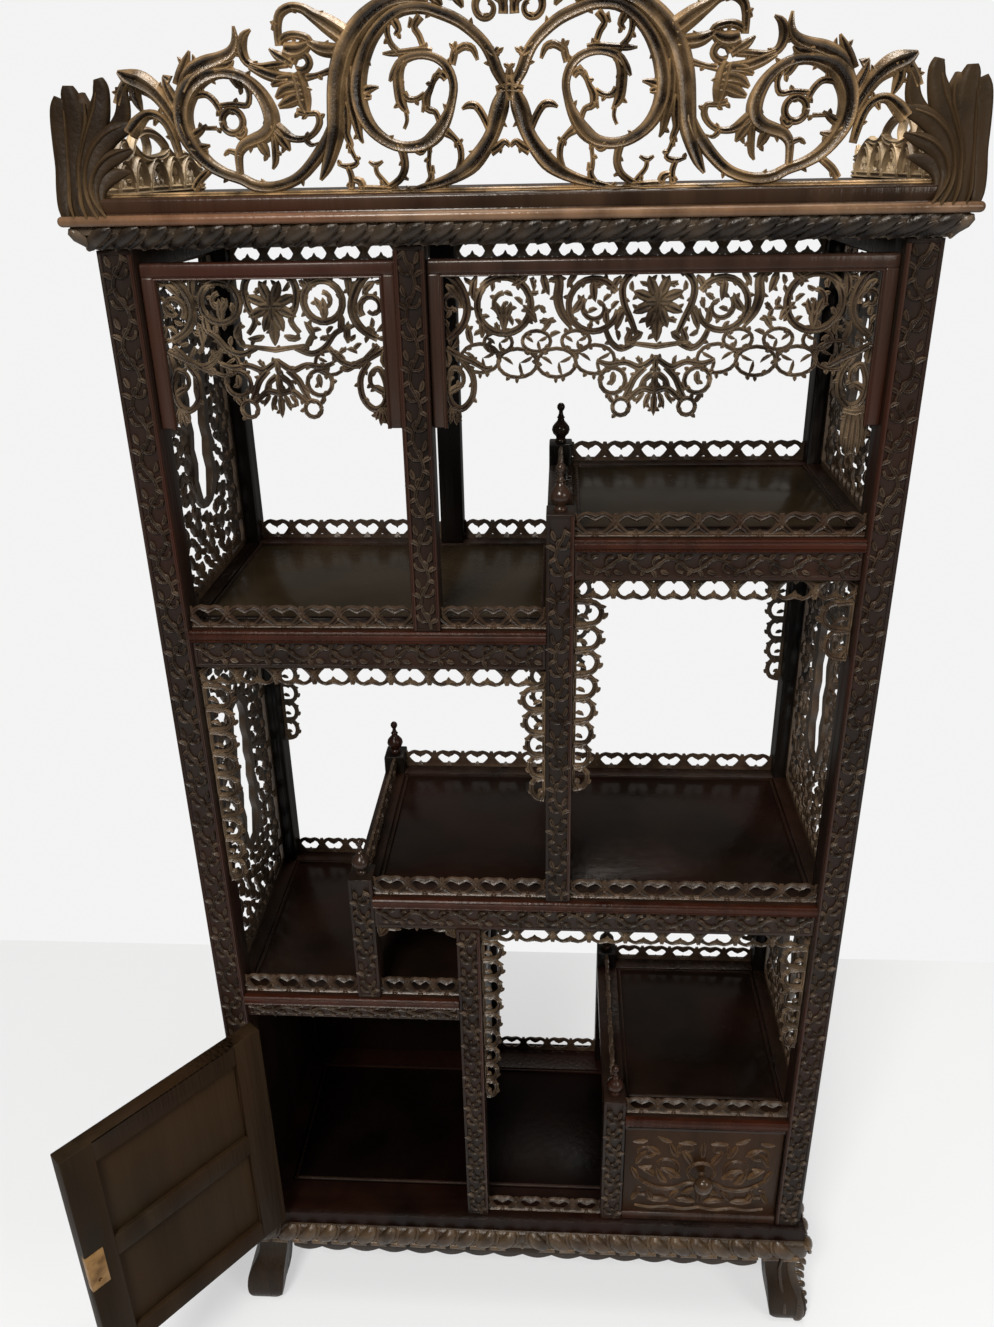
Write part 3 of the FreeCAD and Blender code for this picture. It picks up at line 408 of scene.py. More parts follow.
# A running vine along a strip: a waving stem with a curl and three leaves in each bend
def vine(length, height, bend):
    count = max(2, round(length / bend))
    pitch = length / count
    reach = height / 2
    strokes = [[(pitch * step / 4, reach + 0.55 * reach * math.sin(math.pi * (step / 4 + 0.5)), 1.9)
                for step in range(count * 4 + 1)]]
    for index in range(count):
        x = pitch * (index + 0.5)
        side = 1 if index % 2 else -1
        z = reach + side * 0.12 * reach
        strokes.append(coil(x, z, 0.30 * pitch, 0.07 * pitch, side * 80, side * 400, 1.8, 1.2, 9))
        base = reach - side * 0.5 * reach
        strokes.append(leaf(x - 0.3 * pitch, base, side * -25, 0.42 * pitch, 3.0, side * -60))
        strokes.append(leaf(x + 0.1 * pitch, base, side * -50, 0.4 * pitch, 3.0, side * 50))
        tip = z + side * 0.2 * reach
        strokes.append(leaf(x + 0.42 * pitch, tip, side * 95, 0.38 * pitch, 2.6, side * 40))
    return strokes


# Strokes laid out along a rail, turned to run up a post
def upright(strokes):
    return [[(place[1], place[0]) + tuple(place[2:]) for place in stroke] for stroke in strokes]


relief = carved("post_vine_relief", (0.0050, 0.0032, 0.0021), (0.080, 0.056, 0.038), 0.85, 0.3, 40.0, 0.4,
                (0.505, 0.59), 0.24)
field_foot = 0.189
field_end = 0.016
field_border = 0.0055
vine_proud = 0.0006
vines = []
for node in front_posts:
    low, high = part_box(node)
    bottom = max(low.z + field_end, field_foot)
    width = 1000 * (high.x - low.x) - 2000 * field_border
    strokes = upright(vine(1000 * (high.z - field_end - bottom), width, 29.0))
    vines.append(carve(strokes, "leaf", (low.x + field_border, low.y - vine_proud, bottom)))
settle(joined(vines), "post_vines", relief, "cabinet", "carved_rosewood")

# The reddish bead beside the carved field, on the side that faces the openings
bead_wood = wood("reddish_bead_rosewood", (0.016, 0.0080, 0.0056), (0.032, 0.0155, 0.0105), 0.28,
                 30.0, 0.0002)
divider_low, divider_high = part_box("upper_divider_post")
upper_step_low, upper_step_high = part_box("upper_step_post")
jamb_low, jamb_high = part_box("cupboard_jamb_post")
# Each bead: its line across the front, its foot and its top
bead_half = 2.4
bead_foot = 0.19
bead_top = 1.512
beads = []
for x, low, high in ((left_post_high.x - 0.0028, bead_foot, bead_top),
                     (right_post_low.x + 0.0028, bead_foot, bead_top),
                     (divider_low.x + 0.0022, 1.12, bead_top), (divider_high.x - 0.0022, 1.12, bead_top),
                     (upper_step_high.x - 0.0022, 0.76, 1.25), (jamb_high.x - 0.0022, bead_foot, 0.70)):
    line = [(0, 1000 * low, bead_half), (0, 1000 * high, bead_half)]
    beads.append(carve([line], "stem", (x, front_y - 0.0004, 0)))
settle(joined(beads), "post_beads", bead_wood, "cabinet", "reddish_rosewood")


# Turned work: a half outline of (radius, height) shares spun about an upright axis
def turning(outline, at, diameter, height, sides=20):
    mesh = bpy.data.meshes.new("turning")
    points = [(radius * diameter / 2, 0, up * height) for radius, up in outline]
    mesh.from_pydata(points, [(i, i + 1) for i in range(len(points) - 1)], [])
    piece = bpy.data.objects.new("turning", mesh)
    bpy.context.scene.collection.objects.link(piece)
    only(piece)
    bpy.ops.object.mode_set(mode="EDIT")
    bpy.ops.mesh.select_all(action="SELECT")
    bpy.ops.mesh.spin(steps=sides, angle=2 * math.pi, center=(0, 0, 0), axis=(0, 0, 1))
    bpy.ops.mesh.select_all(action="SELECT")
    bpy.ops.mesh.remove_doubles(threshold=0.00002)
    bpy.ops.mesh.normals_make_consistent(inside=False)
    bpy.ops.object.mode_set(mode="OBJECT")
    bpy.ops.object.shade_smooth_by_angle(angle=math.radians(50))
    piece.data.transform(Matrix.Translation(at))
    return piece


# A planed bar with its edges eased
def bar(low, high, ease=0.0015, segments=2):
    size = [b - a for a, b in zip(low, high)]
    middle = [(a + b) / 2 for a, b in zip(low, high)]
    bpy.ops.object.select_all(action="DESELECT")
    bpy.ops.mesh.primitive_cube_add(size=1, location=middle, scale=size)
    bpy.ops.object.transform_apply(location=True, rotation=True, scale=True)
    bpy.ops.object.mode_set(mode="EDIT")
    bpy.ops.mesh.select_all(action="SELECT")
    bpy.ops.mesh.bevel(offset=ease, segments=segments, affect="EDGES")
    bpy.ops.object.mode_set(mode="OBJECT")
    bpy.ops.object.shade_smooth_by_angle(angle=math.radians(35))
    return bpy.context.active_object


# Finials: six small turned ones, an onion bulb on a stem with a ball at its tip, one on the top of
# each step post. They are turned in one piece and glued into the post with a spigot.
finial_outline = ((0.001, 0), (0.62, 0), (0.66, 0.03), (0.60, 0.07), (0.50, 0.10), (0.56, 0.15),
                  (0.86, 0.22), (1.0, 0.31), (0.92, 0.40), (0.66, 0.48), (0.42, 0.54), (0.34, 0.60),
                  (0.46, 0.63), (0.34, 0.66), (0.24, 0.72), (0.22, 0.79), (0.34, 0.82), (0.44, 0.88),
                  (0.40, 0.94), (0.24, 0.985), (0.001, 1.0))
finial_wide = 0.0235
finial_tall = 0.051
finial_inset = 0.0175
finials = []
for node in ("upper_step_post", "lower_step_post", "drawer_bay_post"):
    low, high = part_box(node)
    x = (low.x + high.x) / 2
    for y in (front_y + finial_inset, rear_y - finial_inset):
        finials.append(turning(finial_outline, (x, y, high.z - 0.0003), finial_wide, finial_tall))
finial_wood = wood("turned_finial_rosewood", (0.010, 0.006, 0.004), (0.022, 0.013, 0.009), 0.2, 30, 0.0001)
settle(joined(finials), "turned_finials", finial_wood, "cabinet", "dark_rosewood", "step_post_finials")

# Shelves: each has a front rail, a rear rail and two bearers round a floating panel. The panels are
# black-brown and polished, the front rails are carved with a vine under a reddish moulded nosing.
shelf_names = ("upper_left", "upper_right", "middle", "lower_left", "drawer_top")
panel_wood = wood("polished_shelf_rosewood", (0.0050, 0.0030, 0.0022), (0.0105, 0.0060, 0.0042), 0.17,
                  14.0, 0.00015, (0.0150, 0.0040, 0.0022))
rail_wood = wood("rail_rosewood", (0.0085, 0.0048, 0.0032), (0.0180, 0.0100, 0.0066), 0.3, 26.0, 0.0004,
                 (0.024, 0.0070, 0.0032), 0.18)
nosing_wood = wood("reddish_nosing_rosewood", (0.0145, 0.0042, 0.0022), (0.030, 0.0098, 0.0050), 0.24,
                   34.0, 0.0002, (0.036, 0.0080, 0.0034), 0.12)
# The upper panels get a lighter, warmer copy of the panel wood: painted reflection of the light on their
# polished tops
upper_panel_reflection_wood = wood("upper_shelf_reflection_rosewood", (0.0120, 0.0085, 0.0045), (0.0260, 0.0180, 0.0095), 0.2,
                        10.0, 0.00015, (0.0300, 0.0200, 0.0095), 0.18)
for name in shelf_names:
    eased(name + "_shelf_frame", rail_wood, "cabinet", "dark_rosewood")
    eased(name + "_shelf_panel", upper_panel_reflection_wood if name.startswith("upper") else panel_wood, "cabinet",
          "panel_rosewood", 0.0008)
floor_wood = wood("floor_frame_rosewood", (0.0040, 0.0018, 0.0012), (0.0095, 0.0042, 0.0026), 0.3, 26.0,
                  0.0003, (0.014, 0.0035, 0.0018), 0.10)
# The base floor panel is stained near black: painted shade at the bottom of the niche, the cupboard and the
# bay
shaded_floor_panel_wood = wood("shaded_floor_panel_rosewood", (0.0016, 0.0009, 0.0007), (0.0036, 0.0019, 0.0014), 0.28,
                        14.0, 0.00015, (0.0060, 0.0016, 0.0010), 0.05)
eased("base_floor_frame", floor_wood, "cabinet", "dark_rosewood", 0.0014)
eased("base_floor_panel", shaded_floor_panel_wood, "cabinet", "panel_rosewood", 0.0008)

gouges["nosing"] = ((-1, -0.5), (-1, 0.3), (-0.75, 0.5), (-0.55, 0.28), (-0.3, 0.62), (0.3, 0.62),
                    (0.55, 0.28), (0.75, 0.5), (1, 0.3), (1, -0.5))
level = {name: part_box(name + "_shelf_frame")[1].z for name in shelf_names}
below = {name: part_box(name + "_shelf_frame")[0].z for name in shelf_names}
lower_step_low, lower_step_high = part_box("lower_step_post")
drawer_post_low, drawer_post_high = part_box("drawer_bay_post")
span = {"upper_left": (left_post_high.x, upper_step_low.x),
        "upper_right": (upper_step_high.x, right_post_low.x),
        "middle": (lower_step_high.x, right_post_low.x),
        "lower_left": (left_post_high.x, jamb_low.x),
        "drawer_top": (drawer_post_high.x, right_post_low.x)}
rail_border = 20
vine_end = 3
nosing_half = 6.9
rail_vines = []
nosings = []
for name in shelf_names:
    x0, x1 = span[name]
    length = 1000 * (x1 - x0)
    field = 1000 * (level[name] - below[name]) - rail_border
    if field > 8:
        corner = (x0 + vine_end / 1000, front_y + 0.0012, below[name] + 0.0045)
        rail_vines.append(carve(vine(length - 2 * vine_end, field, 25.0), "leaf", corner))
    line = [[(0, 0, nosing_half), (length, 0, nosing_half)]]
    nosings.append(carve(line, "nosing", (x0, front_y - 0.0005, level[name] - 0.0066)))
settle(joined(rail_vines), "rail_vines", relief, "cabinet", "carved_rosewood")
settle(joined(nosings), "shelf_nosings", nosing_wood, "cabinet", "reddish_rosewood")

# The raised bead that frames each panel on the shelf's top
inset = 0.011
floor_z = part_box("base_floor_frame")[1].z
framed_panels = [(name + "_shelf_panel", level[name]) for name in shelf_names]
panel_beads = []
for panel, z in framed_panels + [("base_floor_panel", floor_z)]:
    low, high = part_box(panel)
    corners = ((low.x + inset, low.y + inset), (high.x - inset, low.y + inset),
               (high.x - inset, high.y - inset), (low.x + inset, high.y - inset))
    for (ax, ay), (bx, by) in zip(corners, corners[1:] + corners[:1]):
        length = 1000 * math.hypot(bx - ax, by - ay)
        turn = math.degrees(math.atan2(by - ay, bx - ax))
        line = [[(-2, 0, 2.0), (length + 2, 0, 2.0)]]
        panel_beads.append(carve(line, "stem", (ax, ay, z - 0.0004), turn))
settle(joined(panel_beads), "panel_beads", rail_wood, "cabinet", "dark_rosewood")

# Base moulding: three mitred boards round the cabinet's foot and a plain one behind, carved with a
# row of broad leaning gadroons over a row of flat tabs that meet at a flower in the front's middle.
base_wood = carved("base_gadroon_carving", (0.0110, 0.0064, 0.0032), (0.135, 0.087, 0.047), 0.85, 0.26,
                   30.0, 0.3, (0.52, 0.62), 0.3)
gouges["lobe"] = ((-1, -0.6), (-0.96, -0.1), (-0.78, 0.22), (-0.4, 0.44), (0, 0.5), (0.4, 0.44),
                  (0.78, 0.22), (0.96, -0.1), (1, -0.6))
base_low, base_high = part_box("base_moulding")
proud = 0.0070
board_deep = 0.060
base_foot = base_low.z + 0.0002
base_bars = [bar((base_low.x + proud, base_low.y + proud, base_foot),
                 (base_high.x - proud, base_low.y + board_deep, base_high.z - 0.001), 0.010, 4),
             bar((base_low.x + 0.010, base_high.y - board_deep, base_foot),
                 (base_high.x - 0.010, base_high.y, base_high.z), 0.003, 3)]
for x0, x1 in ((base_low.x + proud, base_low.x + board_deep),
               (base_high.x - board_deep, base_high.x - proud)):
    base_bars.append(bar((x0, base_low.y + proud + 0.002, base_foot),
                         (x1, base_high.y - 0.0005, base_high.z - 0.001), 0.010, 4))


# Leaning crescents to both sides of a middle, each with a thin twin and a flat tab below it
def gadroons(length, middle, pitch=29.5):
    crescent = ((-14, 9, 6.0, -1.6), (-9, 12, 9.6, 0.6), (-1, 18, 11.4, 1.6), (5, 25, 11.0, 1.4),
                (8, 31, 9.6, -1.2), (8, 34.6, 7.0, -5.0))
    twin = ((1, 9, 2.0, 1.0), (10, 14, 3.0, 2.4), (16, 22, 3.4, 2.2), (18, 31, 2.8, -0.6),
            (17, 35, 1.6, -4.0))
    tab = ((-24, 5.5, 4.0, 1.0), (-1, 5.5, 4.4, 1.4))
    strokes = []
    count = int(max(middle, length - middle) / pitch) + 1
    for side in (-1, 1):
        for index in range(count):
            x = middle + side * (24 + pitch * index)
            if 16 < x < length - 16:
                strokes += [[(x - side * across, up, half, lift) for across, up, half, lift in stroke]
                            for stroke in (crescent, twin, tab)]
    return strokes


front_length = 1000 * (base_high.x - base_low.x)
side_length = 1000 * (base_high.y - base_low.y)
lobes = gadroons(front_length, front_length / 2)
lobes += [leaf(front_length / 2, 20, 60 * k + 30, 15, 6.0, 0) for k in range(6)]
base_bars.append(carve(lobes, "lobe", (base_low.x, base_low.y + proud, base_low.z)))
left_foot = (base_low.x + proud, base_high.y, base_low.z)
base_bars.append(carve(gadroons(side_length, side_length), "lobe", left_foot, -90.0))
right_foot = (base_high.x - proud, base_low.y, base_low.z)
base_bars.append(carve(gadroons(side_length, 0), "lobe", right_foot, 90.0))
settle(joined(base_bars), "base_moulding_carving", base_wood, "cabinet", "carved_rosewood", "base_moulding")

# Skirt and feet: scalloped boards under the moulding, and four short cabriole feet shaped from
# blocks. They flare outwards to a rounded toe, and the right front one still shows its carved leaf.
skirt_wood = wood("skirt_rosewood", (0.0095, 0.0058, 0.0034), (0.0235, 0.0142, 0.0074), 0.3, 26.0, 0.0004,
                  (0.022, 0.0110, 0.0052), 0.12)
eased("base_skirt", skirt_wood, "cabinet", "carved_rosewood", 0.0015)
feet = eased("feet", skirt_wood, "cabinet", "carved_rosewood", 0.006, 4)
feet_low, feet_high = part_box("feet")
# Height, inner edge and outer edge of a foot's outline, as shares of its height and width
foot_shares = ((0.0, 0.16, 0.88), (0.08, 0.13, 0.97), (0.24, 0.07, 1.0), (0.42, 0.045, 0.95),
               (0.62, 0.02, 0.78), (0.82, 0.01, 0.74), (1.0, 0.0, 0.80))


# The inner and the outer edge at one height, as shares of the foot's width
def foot_edges(height):
    for lower, upper in zip(foot_shares, foot_shares[1:]):
        if height <= upper[0]:
            part = (height - lower[0]) / (upper[0] - lower[0])
            return (lower[1] + part * (upper[1] - lower[1]), lower[2] + part * (upper[2] - lower[2]))
    return foot_shares[-1][1:]


foot_wide = 0.070
foot_start = feet_high.x - middle_x - foot_wide
for corner in feet.data.vertices:
    height = min(1.0, max(0.0, (corner.co.z - feet_low.z) / (feet_high.z - feet_low.z)))
    inner, outer = foot_edges(height)
    flare = (1.0 - height) ** 0.7
    side = math.copysign(1.0, corner.co.x - middle_x)
    part = ((corner.co.x - middle_x) * side - foot_start) / foot_wide
    push_in = 0.0090 + 0.0090 * min(1.0, 2.0 - 2.0 * height) + 0.012 * max(0.0, 1.0 - height / 0.10)
    push_out = 0.0040 + 0.0055 * flare
    share = (part - inner) / (outer - inner)
    corner.co.x = middle_x + side * (foot_start + foot_wide * part + push_in + share * (push_out - push_in))
    if corner.co.y < front_y + 0.10:
        corner.co.y -= 0.0075 * flare
# The leaf on the right front foot: a main vein, a thin one beside it and seven lobes
toe = [[(-12, 124, 6, -13), (-16, 104, 7, -15), (-14, 84, 7, -13), (-7, 64, 7, -5), (-1, 44, 7, 2),
        (1, 26, 7, 5), (0, 10, 6, 5), (-4, 2, 4, 2)],
       [(-30, 120, 1.6, -11), (-32, 96, 2.4, -12), (-30, 72, 2.4, -6), (-24, 44, 2.6, 3),
        (-22, 22, 2.2, 7)]]
for up, reach, long, lift in ((116, -10, 18, -11), (101, -12, 20, -13), (86, -11, 20, -12),
                              (71, -6, 15, -7), (56, 0, 10, -2), (41, 3, 8, 1), (27, 4, 7, 3)):
    toe.append([place + (lift,) for place in leaf(reach, up, 28, long, 4.6, -100)])
toe = [flowing(stroke, 3) for stroke in toe]
foot_leaf = carve(shifted(toe, 1000 * (feet_high.x - middle_x) - 1, 0), "lobe", (middle_x, feet_low.y, 0))
settle(foot_leaf, "foot_leaf", base_wood, "cabinet", "carved_rosewood")


# Galleries: thin pierced strips, carved and sawn out, that stand in a groove along the front, rear
# and step edges of the shelves. A waving stem makes heart-shaped openings between leafy knots.
def gallery(length, height=27.0, pitch=41.0, half=2.9):
    count = max(1, round(length / pitch))
    step = length / count
    strokes = [[(0, 2.2, 3.0), (length, 2.2, 3.0)]]
    top = height - 3.2
    for index in range(count):
        x = step * index
        middle = x + step / 2
        strokes.append(flowing([(x, 15, 4.4), (x + 0.14 * step, top - 3, half), (x + 0.3 * step, top, half),
                                (middle, top - 3.4, half * 1.5), (x + 0.7 * step, top, half),
                                (x + 0.86 * step, top - 3, half), (x + step, 15, 4.4)], 2))
        strokes.append([(middle, top - 1, 3.4), (middle, top - 6.5, 2.4), (middle, top - 10, 0.3)])
        for share, inner, foot in ((0, 0.15, 0.3), (1, 0.85, 0.7)):
            strokes.append(flowing([(x + share * step, 13, 5.4), (x + inner * step, 7.0, 3.4),
                                    (x + foot * step, 2, 2.6)], 3))
        strokes.append([(middle, 1, 5.0), (middle, 6, 2.6), (middle, 8, 0.4)])
        strokes.append([(x, 8, 2.5), (x, 17, 5.0), (x, 25, 2.4)])
    return strokes + [[(length, 8, 2.5), (length, 17, 5.0), (length, 25, 2.4)]]


# Foliage: leaves and small curls that grow from the nearest stroke into every empty place, until
# no opening is wider than about twice the gap
def foliage(strokes, spots, gap, half, passes=4):
    cells = {}

    def note(stroke):
        for first, second in zip(stroke, stroke[1:]):
            steps = max(1, int(math.hypot(second[0] - first[0], second[1] - first[1]) / 3))
            for step in range(steps + 1):
                x = first[0] + (second[0] - first[0]) * step / steps
                z = first[1] + (second[1] - first[1]) * step / steps
                cells.setdefault((int(x // gap), int(z // gap)), []).append((x, z))

    for stroke in strokes:
        note(stroke)
    grown = []
    for turn in range(passes):
        for index, (x, z) in enumerate(spots):
            column, row = int(x // gap), int(z // gap)
            near = [(math.hypot(x - px, z - pz), px, pz) for i in range(column - 2, column + 3)
                    for j in range(row - 2, row + 3) for px, pz in cells.get((i, j), ())]
            if not near:
                continue
            distance, px, pz = min(near)
            if distance > gap:
                side = 1 if (index + turn) % 2 else -1
                heading = math.degrees(math.atan2(z - pz, x - px))
                fresh = [leaf(px, pz, heading - side * 25, distance + 0.75 * gap, half, side * 75)]
                if index % 3 == 0:
                    fresh.append(coil(x, z, 0.52 * gap, 0.2 * gap, heading, heading + side * 330,
                                      0.62 * half, 0.4 * half, 7))
                for stroke in fresh:
                    note(stroke)
                grown += fresh
    return grown


# Places in staggered rows over a field
def lattice(x0, x1, z0, z1, step):
    rows = int((z1 - z0) / (0.87 * step)) + 1
    columns = int((x1 - x0) / step) + 1
    spots = [(x0 + (i + 0.5 * (j % 2)) * step, z0 + j * 0.87 * step) for j in range(rows)
             for i in range(columns)]
    return [(x, z) for x, z in spots if x <= x1]


# The same strokes cut wider
def bolder(strokes, share):
    return [[(place[0], place[1], place[2] * share) + tuple(place[3:]) for place in stroke]
            for stroke in strokes]


# Barbs: short pointed lobes on alternate sides of a stroke, one after every so many millimetres
def barbs(strokes, every, size):
    lobes = []
    for number, stroke in enumerate(strokes):
        side = 1 if number % 2 else -1
        run = 0.5 * every
        for first, second in zip(stroke, stroke[1:]):
            run += math.hypot(second[0] - first[0], second[1] - first[1])
            if run > every and second[2] > 1.8:
                heading = math.degrees(math.atan2(second[1] - first[1], second[0] - first[0])) + side * 30
                lobes.append(leaf(second[0], second[1], heading, size + 1.3 * second[2], 2.4, side * 40))
                side = -side
                run = 0.0
    return lobes


gallery_wood = carved("gallery_carving", (0.0085, 0.0052, 0.0034), (0.070, 0.044, 0.027), 0.55, 0.3, 35.0)
# Each gallery along the front and rear edges: its two ends and the top of its shelf
runs = ((left_post_high.x, divider_low.x, level["upper_left"]),
        (divider_high.x, upper_step_low.x, level["upper_left"]),
        (upper_step_high.x, right_post_low.x, level["upper_right"]),
        (lower_step_high.x, upper_step_low.x, level["middle"]),
        (upper_step_high.x, right_post_low.x, level["middle"]),
        (left_post_high.x, lower_step_low.x, level["lower_left"]),
        (lower_step_high.x, jamb_low.x, level["lower_left"]),
        (drawer_post_high.x, right_post_low.x, level["drawer_top"]),
        (jamb_high.x, drawer_post_low.x, floor_z))
strip_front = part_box("front_galleries")[0].y + 0.003
strip_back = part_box("rear_galleries")[1].y - 0.003
front_strips = []
back_strips = []
for x0, x1, z in runs:
    strokes = gallery(1000 * (x1 - x0))
    front_strips.append(carve(strokes, "leaf", (x0, strip_front, z)))
    back_strips.append(carve(strokes, "leaf", (x1, strip_back, z), 180.0))
settle(joined(front_strips), "front_gallery_carving", gallery_wood, "cabinet", "carved_rosewood",
       "front_galleries")
settle(joined(back_strips), "rear_gallery_carving", gallery_wood, "cabinet", "carved_rosewood",
       "rear_galleries")
post_deep = 0.035
step_strips = []
depth_between = 1000 * (rear_y - front_y - 2 * post_deep)
for low, high in ((upper_step_low, upper_step_high), (lower_step_low, lower_step_high),
                  (drawer_post_low, drawer_post_high)):
    step_strips.append(carve(gallery(depth_between), "leaf",
                             ((low.x + high.x) / 2, rear_y - post_deep, high.z - 0.027), -90.0))
settle(joined(step_strips), "step_gallery_carving", gallery_wood, "cabinet", "carved_rosewood",
       "step_galleries")


# Aprons under the shelves: a pierced strip like the galleries turned upside down, with carved
# brackets that hang down the posts at its two ends, all tongued into the rail and the posts.
def hanging(strokes, height):
    return [[(place[0], height - place[1]) + tuple(place[2:]) for place in stroke] for stroke in strokes]


# A bracket that tapers as it hangs: a stile, bowed loops with knots between them, leaves at the foot
def bracket_chain(width, drop, side=1):
    count = max(2, round(drop / 30.0))
    pitch = drop / count
    strokes = [[(side * 2.0, 0, 2.6), (side * 2.0, -drop + 6, 2.2)]]
    for index in range(count):
        share = index / count
        reach = width * (1.0 - 0.45 * share)
        z = -pitch * (index + 0.5)
        strokes.append(flowing([(side * 2, z + 0.48 * pitch, 4.0),
                                (side * 0.72 * reach, z + 0.40 * pitch, 3.2), (side * 0.94 * reach, z, 3.2),
                                (side * 0.7 * reach, z - 0.40 * pitch, 3.2),
                                (side * 2, z - 0.48 * pitch, 4.0)], 3))
        strokes.append([(side * 0.66 * reach, z + 0.5 * pitch, 1.8),
                        (side * 0.5 * reach, z + 0.44 * pitch, 4.8),
                        (side * 0.32 * reach, z + 0.46 * pitch, 3.2), (side * 2, z + 0.5 * pitch, 2.6)])
        for across, up, lean, long, half, bend in ((0.9, -0.2, 75, 0.34, 3.2, 40),
                                                   (0.75, 0.3, 130, 0.36, 3.0, 60),
                                                   (0.15, -0.1, 60, 0.42, 2.8, -80)):
            strokes.append(leaf(side * across * reach, z + up * pitch, 90 - side * lean, long * reach,
                                half, side * bend))
    strokes.append(leaf(side * 3, -drop + 10, -90 + side * 35, 15, 4.6, side * -30))
    strokes.append(leaf(side * 2, -drop + 14, -90 + side * 5, 14, 3.6, 0))
    return strokes


apron_wood = carved("apron_carving", (0.0080, 0.0050, 0.0032), (0.14, 0.096, 0.058), 0.8, 0.26, 33.0, 0.3,
                    (0.51, 0.61), 0.36)
strip = 28.0
# Each apron: its shelf, its two ends, and the width and drop of its left and right brackets
under = (
    ("apron_middle_left", "upper_left", left_post_high.x, upper_step_low.x, (34, 300), (28, 176)),
    ("apron_middle_right", "upper_right", upper_step_high.x, right_post_low.x, (33, 268), (34, 96)),
    ("apron_lower_right", "middle", jamb_high.x, right_post_low.x, (28, 297), (30, 190)))
for node, name, x0, x1, near, far in under:
    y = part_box(node)[0].y + 0.004
    z = below[name] - strip / 1000
    top = carve(hanging(gallery(1000 * (x1 - x0), strip, 44.0, 2.2), strip), "leaf", (x0, y, z))
    left = carve(bracket_chain(near[0], near[1] - strip), "leaf", (x0, y, z))
    right = carve(bracket_chain(far[0], far[1] - strip, -1), "leaf", (x1, y, z))
    settle(joined([top, left, right]), node + "_carving", apron_wood, "cabinet", "carved_rosewood", node)
rear_parts = []
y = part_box("rear_aprons")[1].y - 0.004
for name, x0, x1 in (apron[1:4] for apron in under):
    z = below[name] - strip / 1000
    top = hanging(gallery(1000 * (x1 - x0), strip, 44.0, 2.2), strip)
    rear_parts += [carve(top, "leaf", (x1, y, z), 180.0),
                   carve(bracket_chain(34, 244), "leaf", (x1, y, z), 180.0),
                   carve(bracket_chain(34, 244, -1), "leaf", (x0, y, z), 180.0)]
settle(joined(rear_parts), "rear_apron_carving", apron_wood, "cabinet", "carved_rosewood", "rear_aprons")

# Niche apron: a small solid arch with a carved edge that closes the top of the open niche between
# the lower step post and the cupboard's jamb.
niche_low, niche_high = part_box("apron_niche")
niche_length = 1000 * (niche_high.x - niche_low.x)
niche_middle = niche_length / 2
arch = []
for start, side in ((0, 1), (niche_length, -1)):
    line = [(-1, 19, 3.0), (14, 19, 3.6), (30, 20, 4.0), (52, 20.5, 3.5)]
    edge = [(2, 2, 3.0), (9, 6, 4.2), (14, 13, 4.0), (24, 12, 3.4), (30, 17, 3.0), (42, 15, 2.6),
            (52, 18, 2.6)]
    arch.append([(start + side * x, z, half) for x, z, half in line])
    arch.append(flowing([(start + side * x, z, half) for x, z, half in edge], 3))
    arch.append(coil(start + side * 8, 10, 6.5, 1.5, 200, 200 - side * 360, 2.4, 1.2, 10))
    arch.append(leaf(start + side * 20, 15, 90 - side * 130, 12, 3.2, side * 30))
    arch.append(leaf(start + side * 2, 18, -90, 17, 4.4, 10))
arch.append([(-1, 21, 2.2), (niche_length + 1, 21, 2.2)])
arch.append([(niche_middle, 22, 4.0), (niche_middle, 15, 3.4), (niche_middle, 9, 0.4)])
settle(carve(arch, "leaf", (niche_low.x, niche_low.y + 0.004, niche_low.z)), "niche_apron_carving",
       apron_wood, "cabinet", "carved_rosewood", "apron_niche")


# Upper aprons: two wide pierced aprons that hang below the cornice, each in a reddish moulded frame
# of a rail and two short stiles. Fat scrolls, rings and leaves are sawn out and carved in the round,
# with a lotus boss in the middle and a pendant below it. Distances run out from the apron's middle.
def lotus(x, z, radius, half):
    petals = [leaf(x + 0.2 * radius * math.cos(a), z + 0.2 * radius * math.sin(a), math.degrees(a),
                   0.85 * radius, half, 0) for a in [math.pi * k / 4 + math.pi / 8 for k in range(8)]]
    inner = [leaf(x, z, 45 * k, 0.5 * radius, half * 0.8, 0) for k in range(0, 8, 2)]
    return petals + [[place + (2.2,) for place in stroke] for stroke in inner]


# Half of the pendant below the boss, with two rings, a bud and a hanging tip
def pendant():
    strokes = [coil(42, 25, 13, 12.5, 0, 360, 2.3, 2.3, 14), coil(33, -1, 8.5, 8.5, 0, 360, 2.2, 2.2, 12)]
    strokes += [
        flowing([(58, 45, 2.2), (46, 41, 2.8), (30, 43, 2.8), (16, 38, 3.2), (6, 43, 3.0), (0, 48, 2.6)]),
        flowing([(0, 14, 3.0), (12, 17, 3.2), (22, 10, 2.8), (28, 4, 2.4)]),
        flowing([(10, 38, 3.0), (20, 28, 3.4), (25, 17, 3.0), (30, 8, 2.4)]),
        flowing([(2, 32, 3.4), (10, 26, 3.0), (14, 17, 2.6)]),
        leaf(42, 34, -110, 14, 3.4, 40), leaf(30, 15, 110, 12, 3.0, 30), leaf(46, 12, -100, 12, 2.8, -40),
        leaf(4, 14, -62, 18, 3.0, -14), leaf(10, 13, -30, 14, 2.6, -40), leaf(0, 50, -90, 18, 3.2, 0)]
    return strokes + [leaf(0, 14, -90, 24, 3.6, 0), [(0, 34, 2.4), (0, 24, 3.6), (0, 14, 2.8)]]


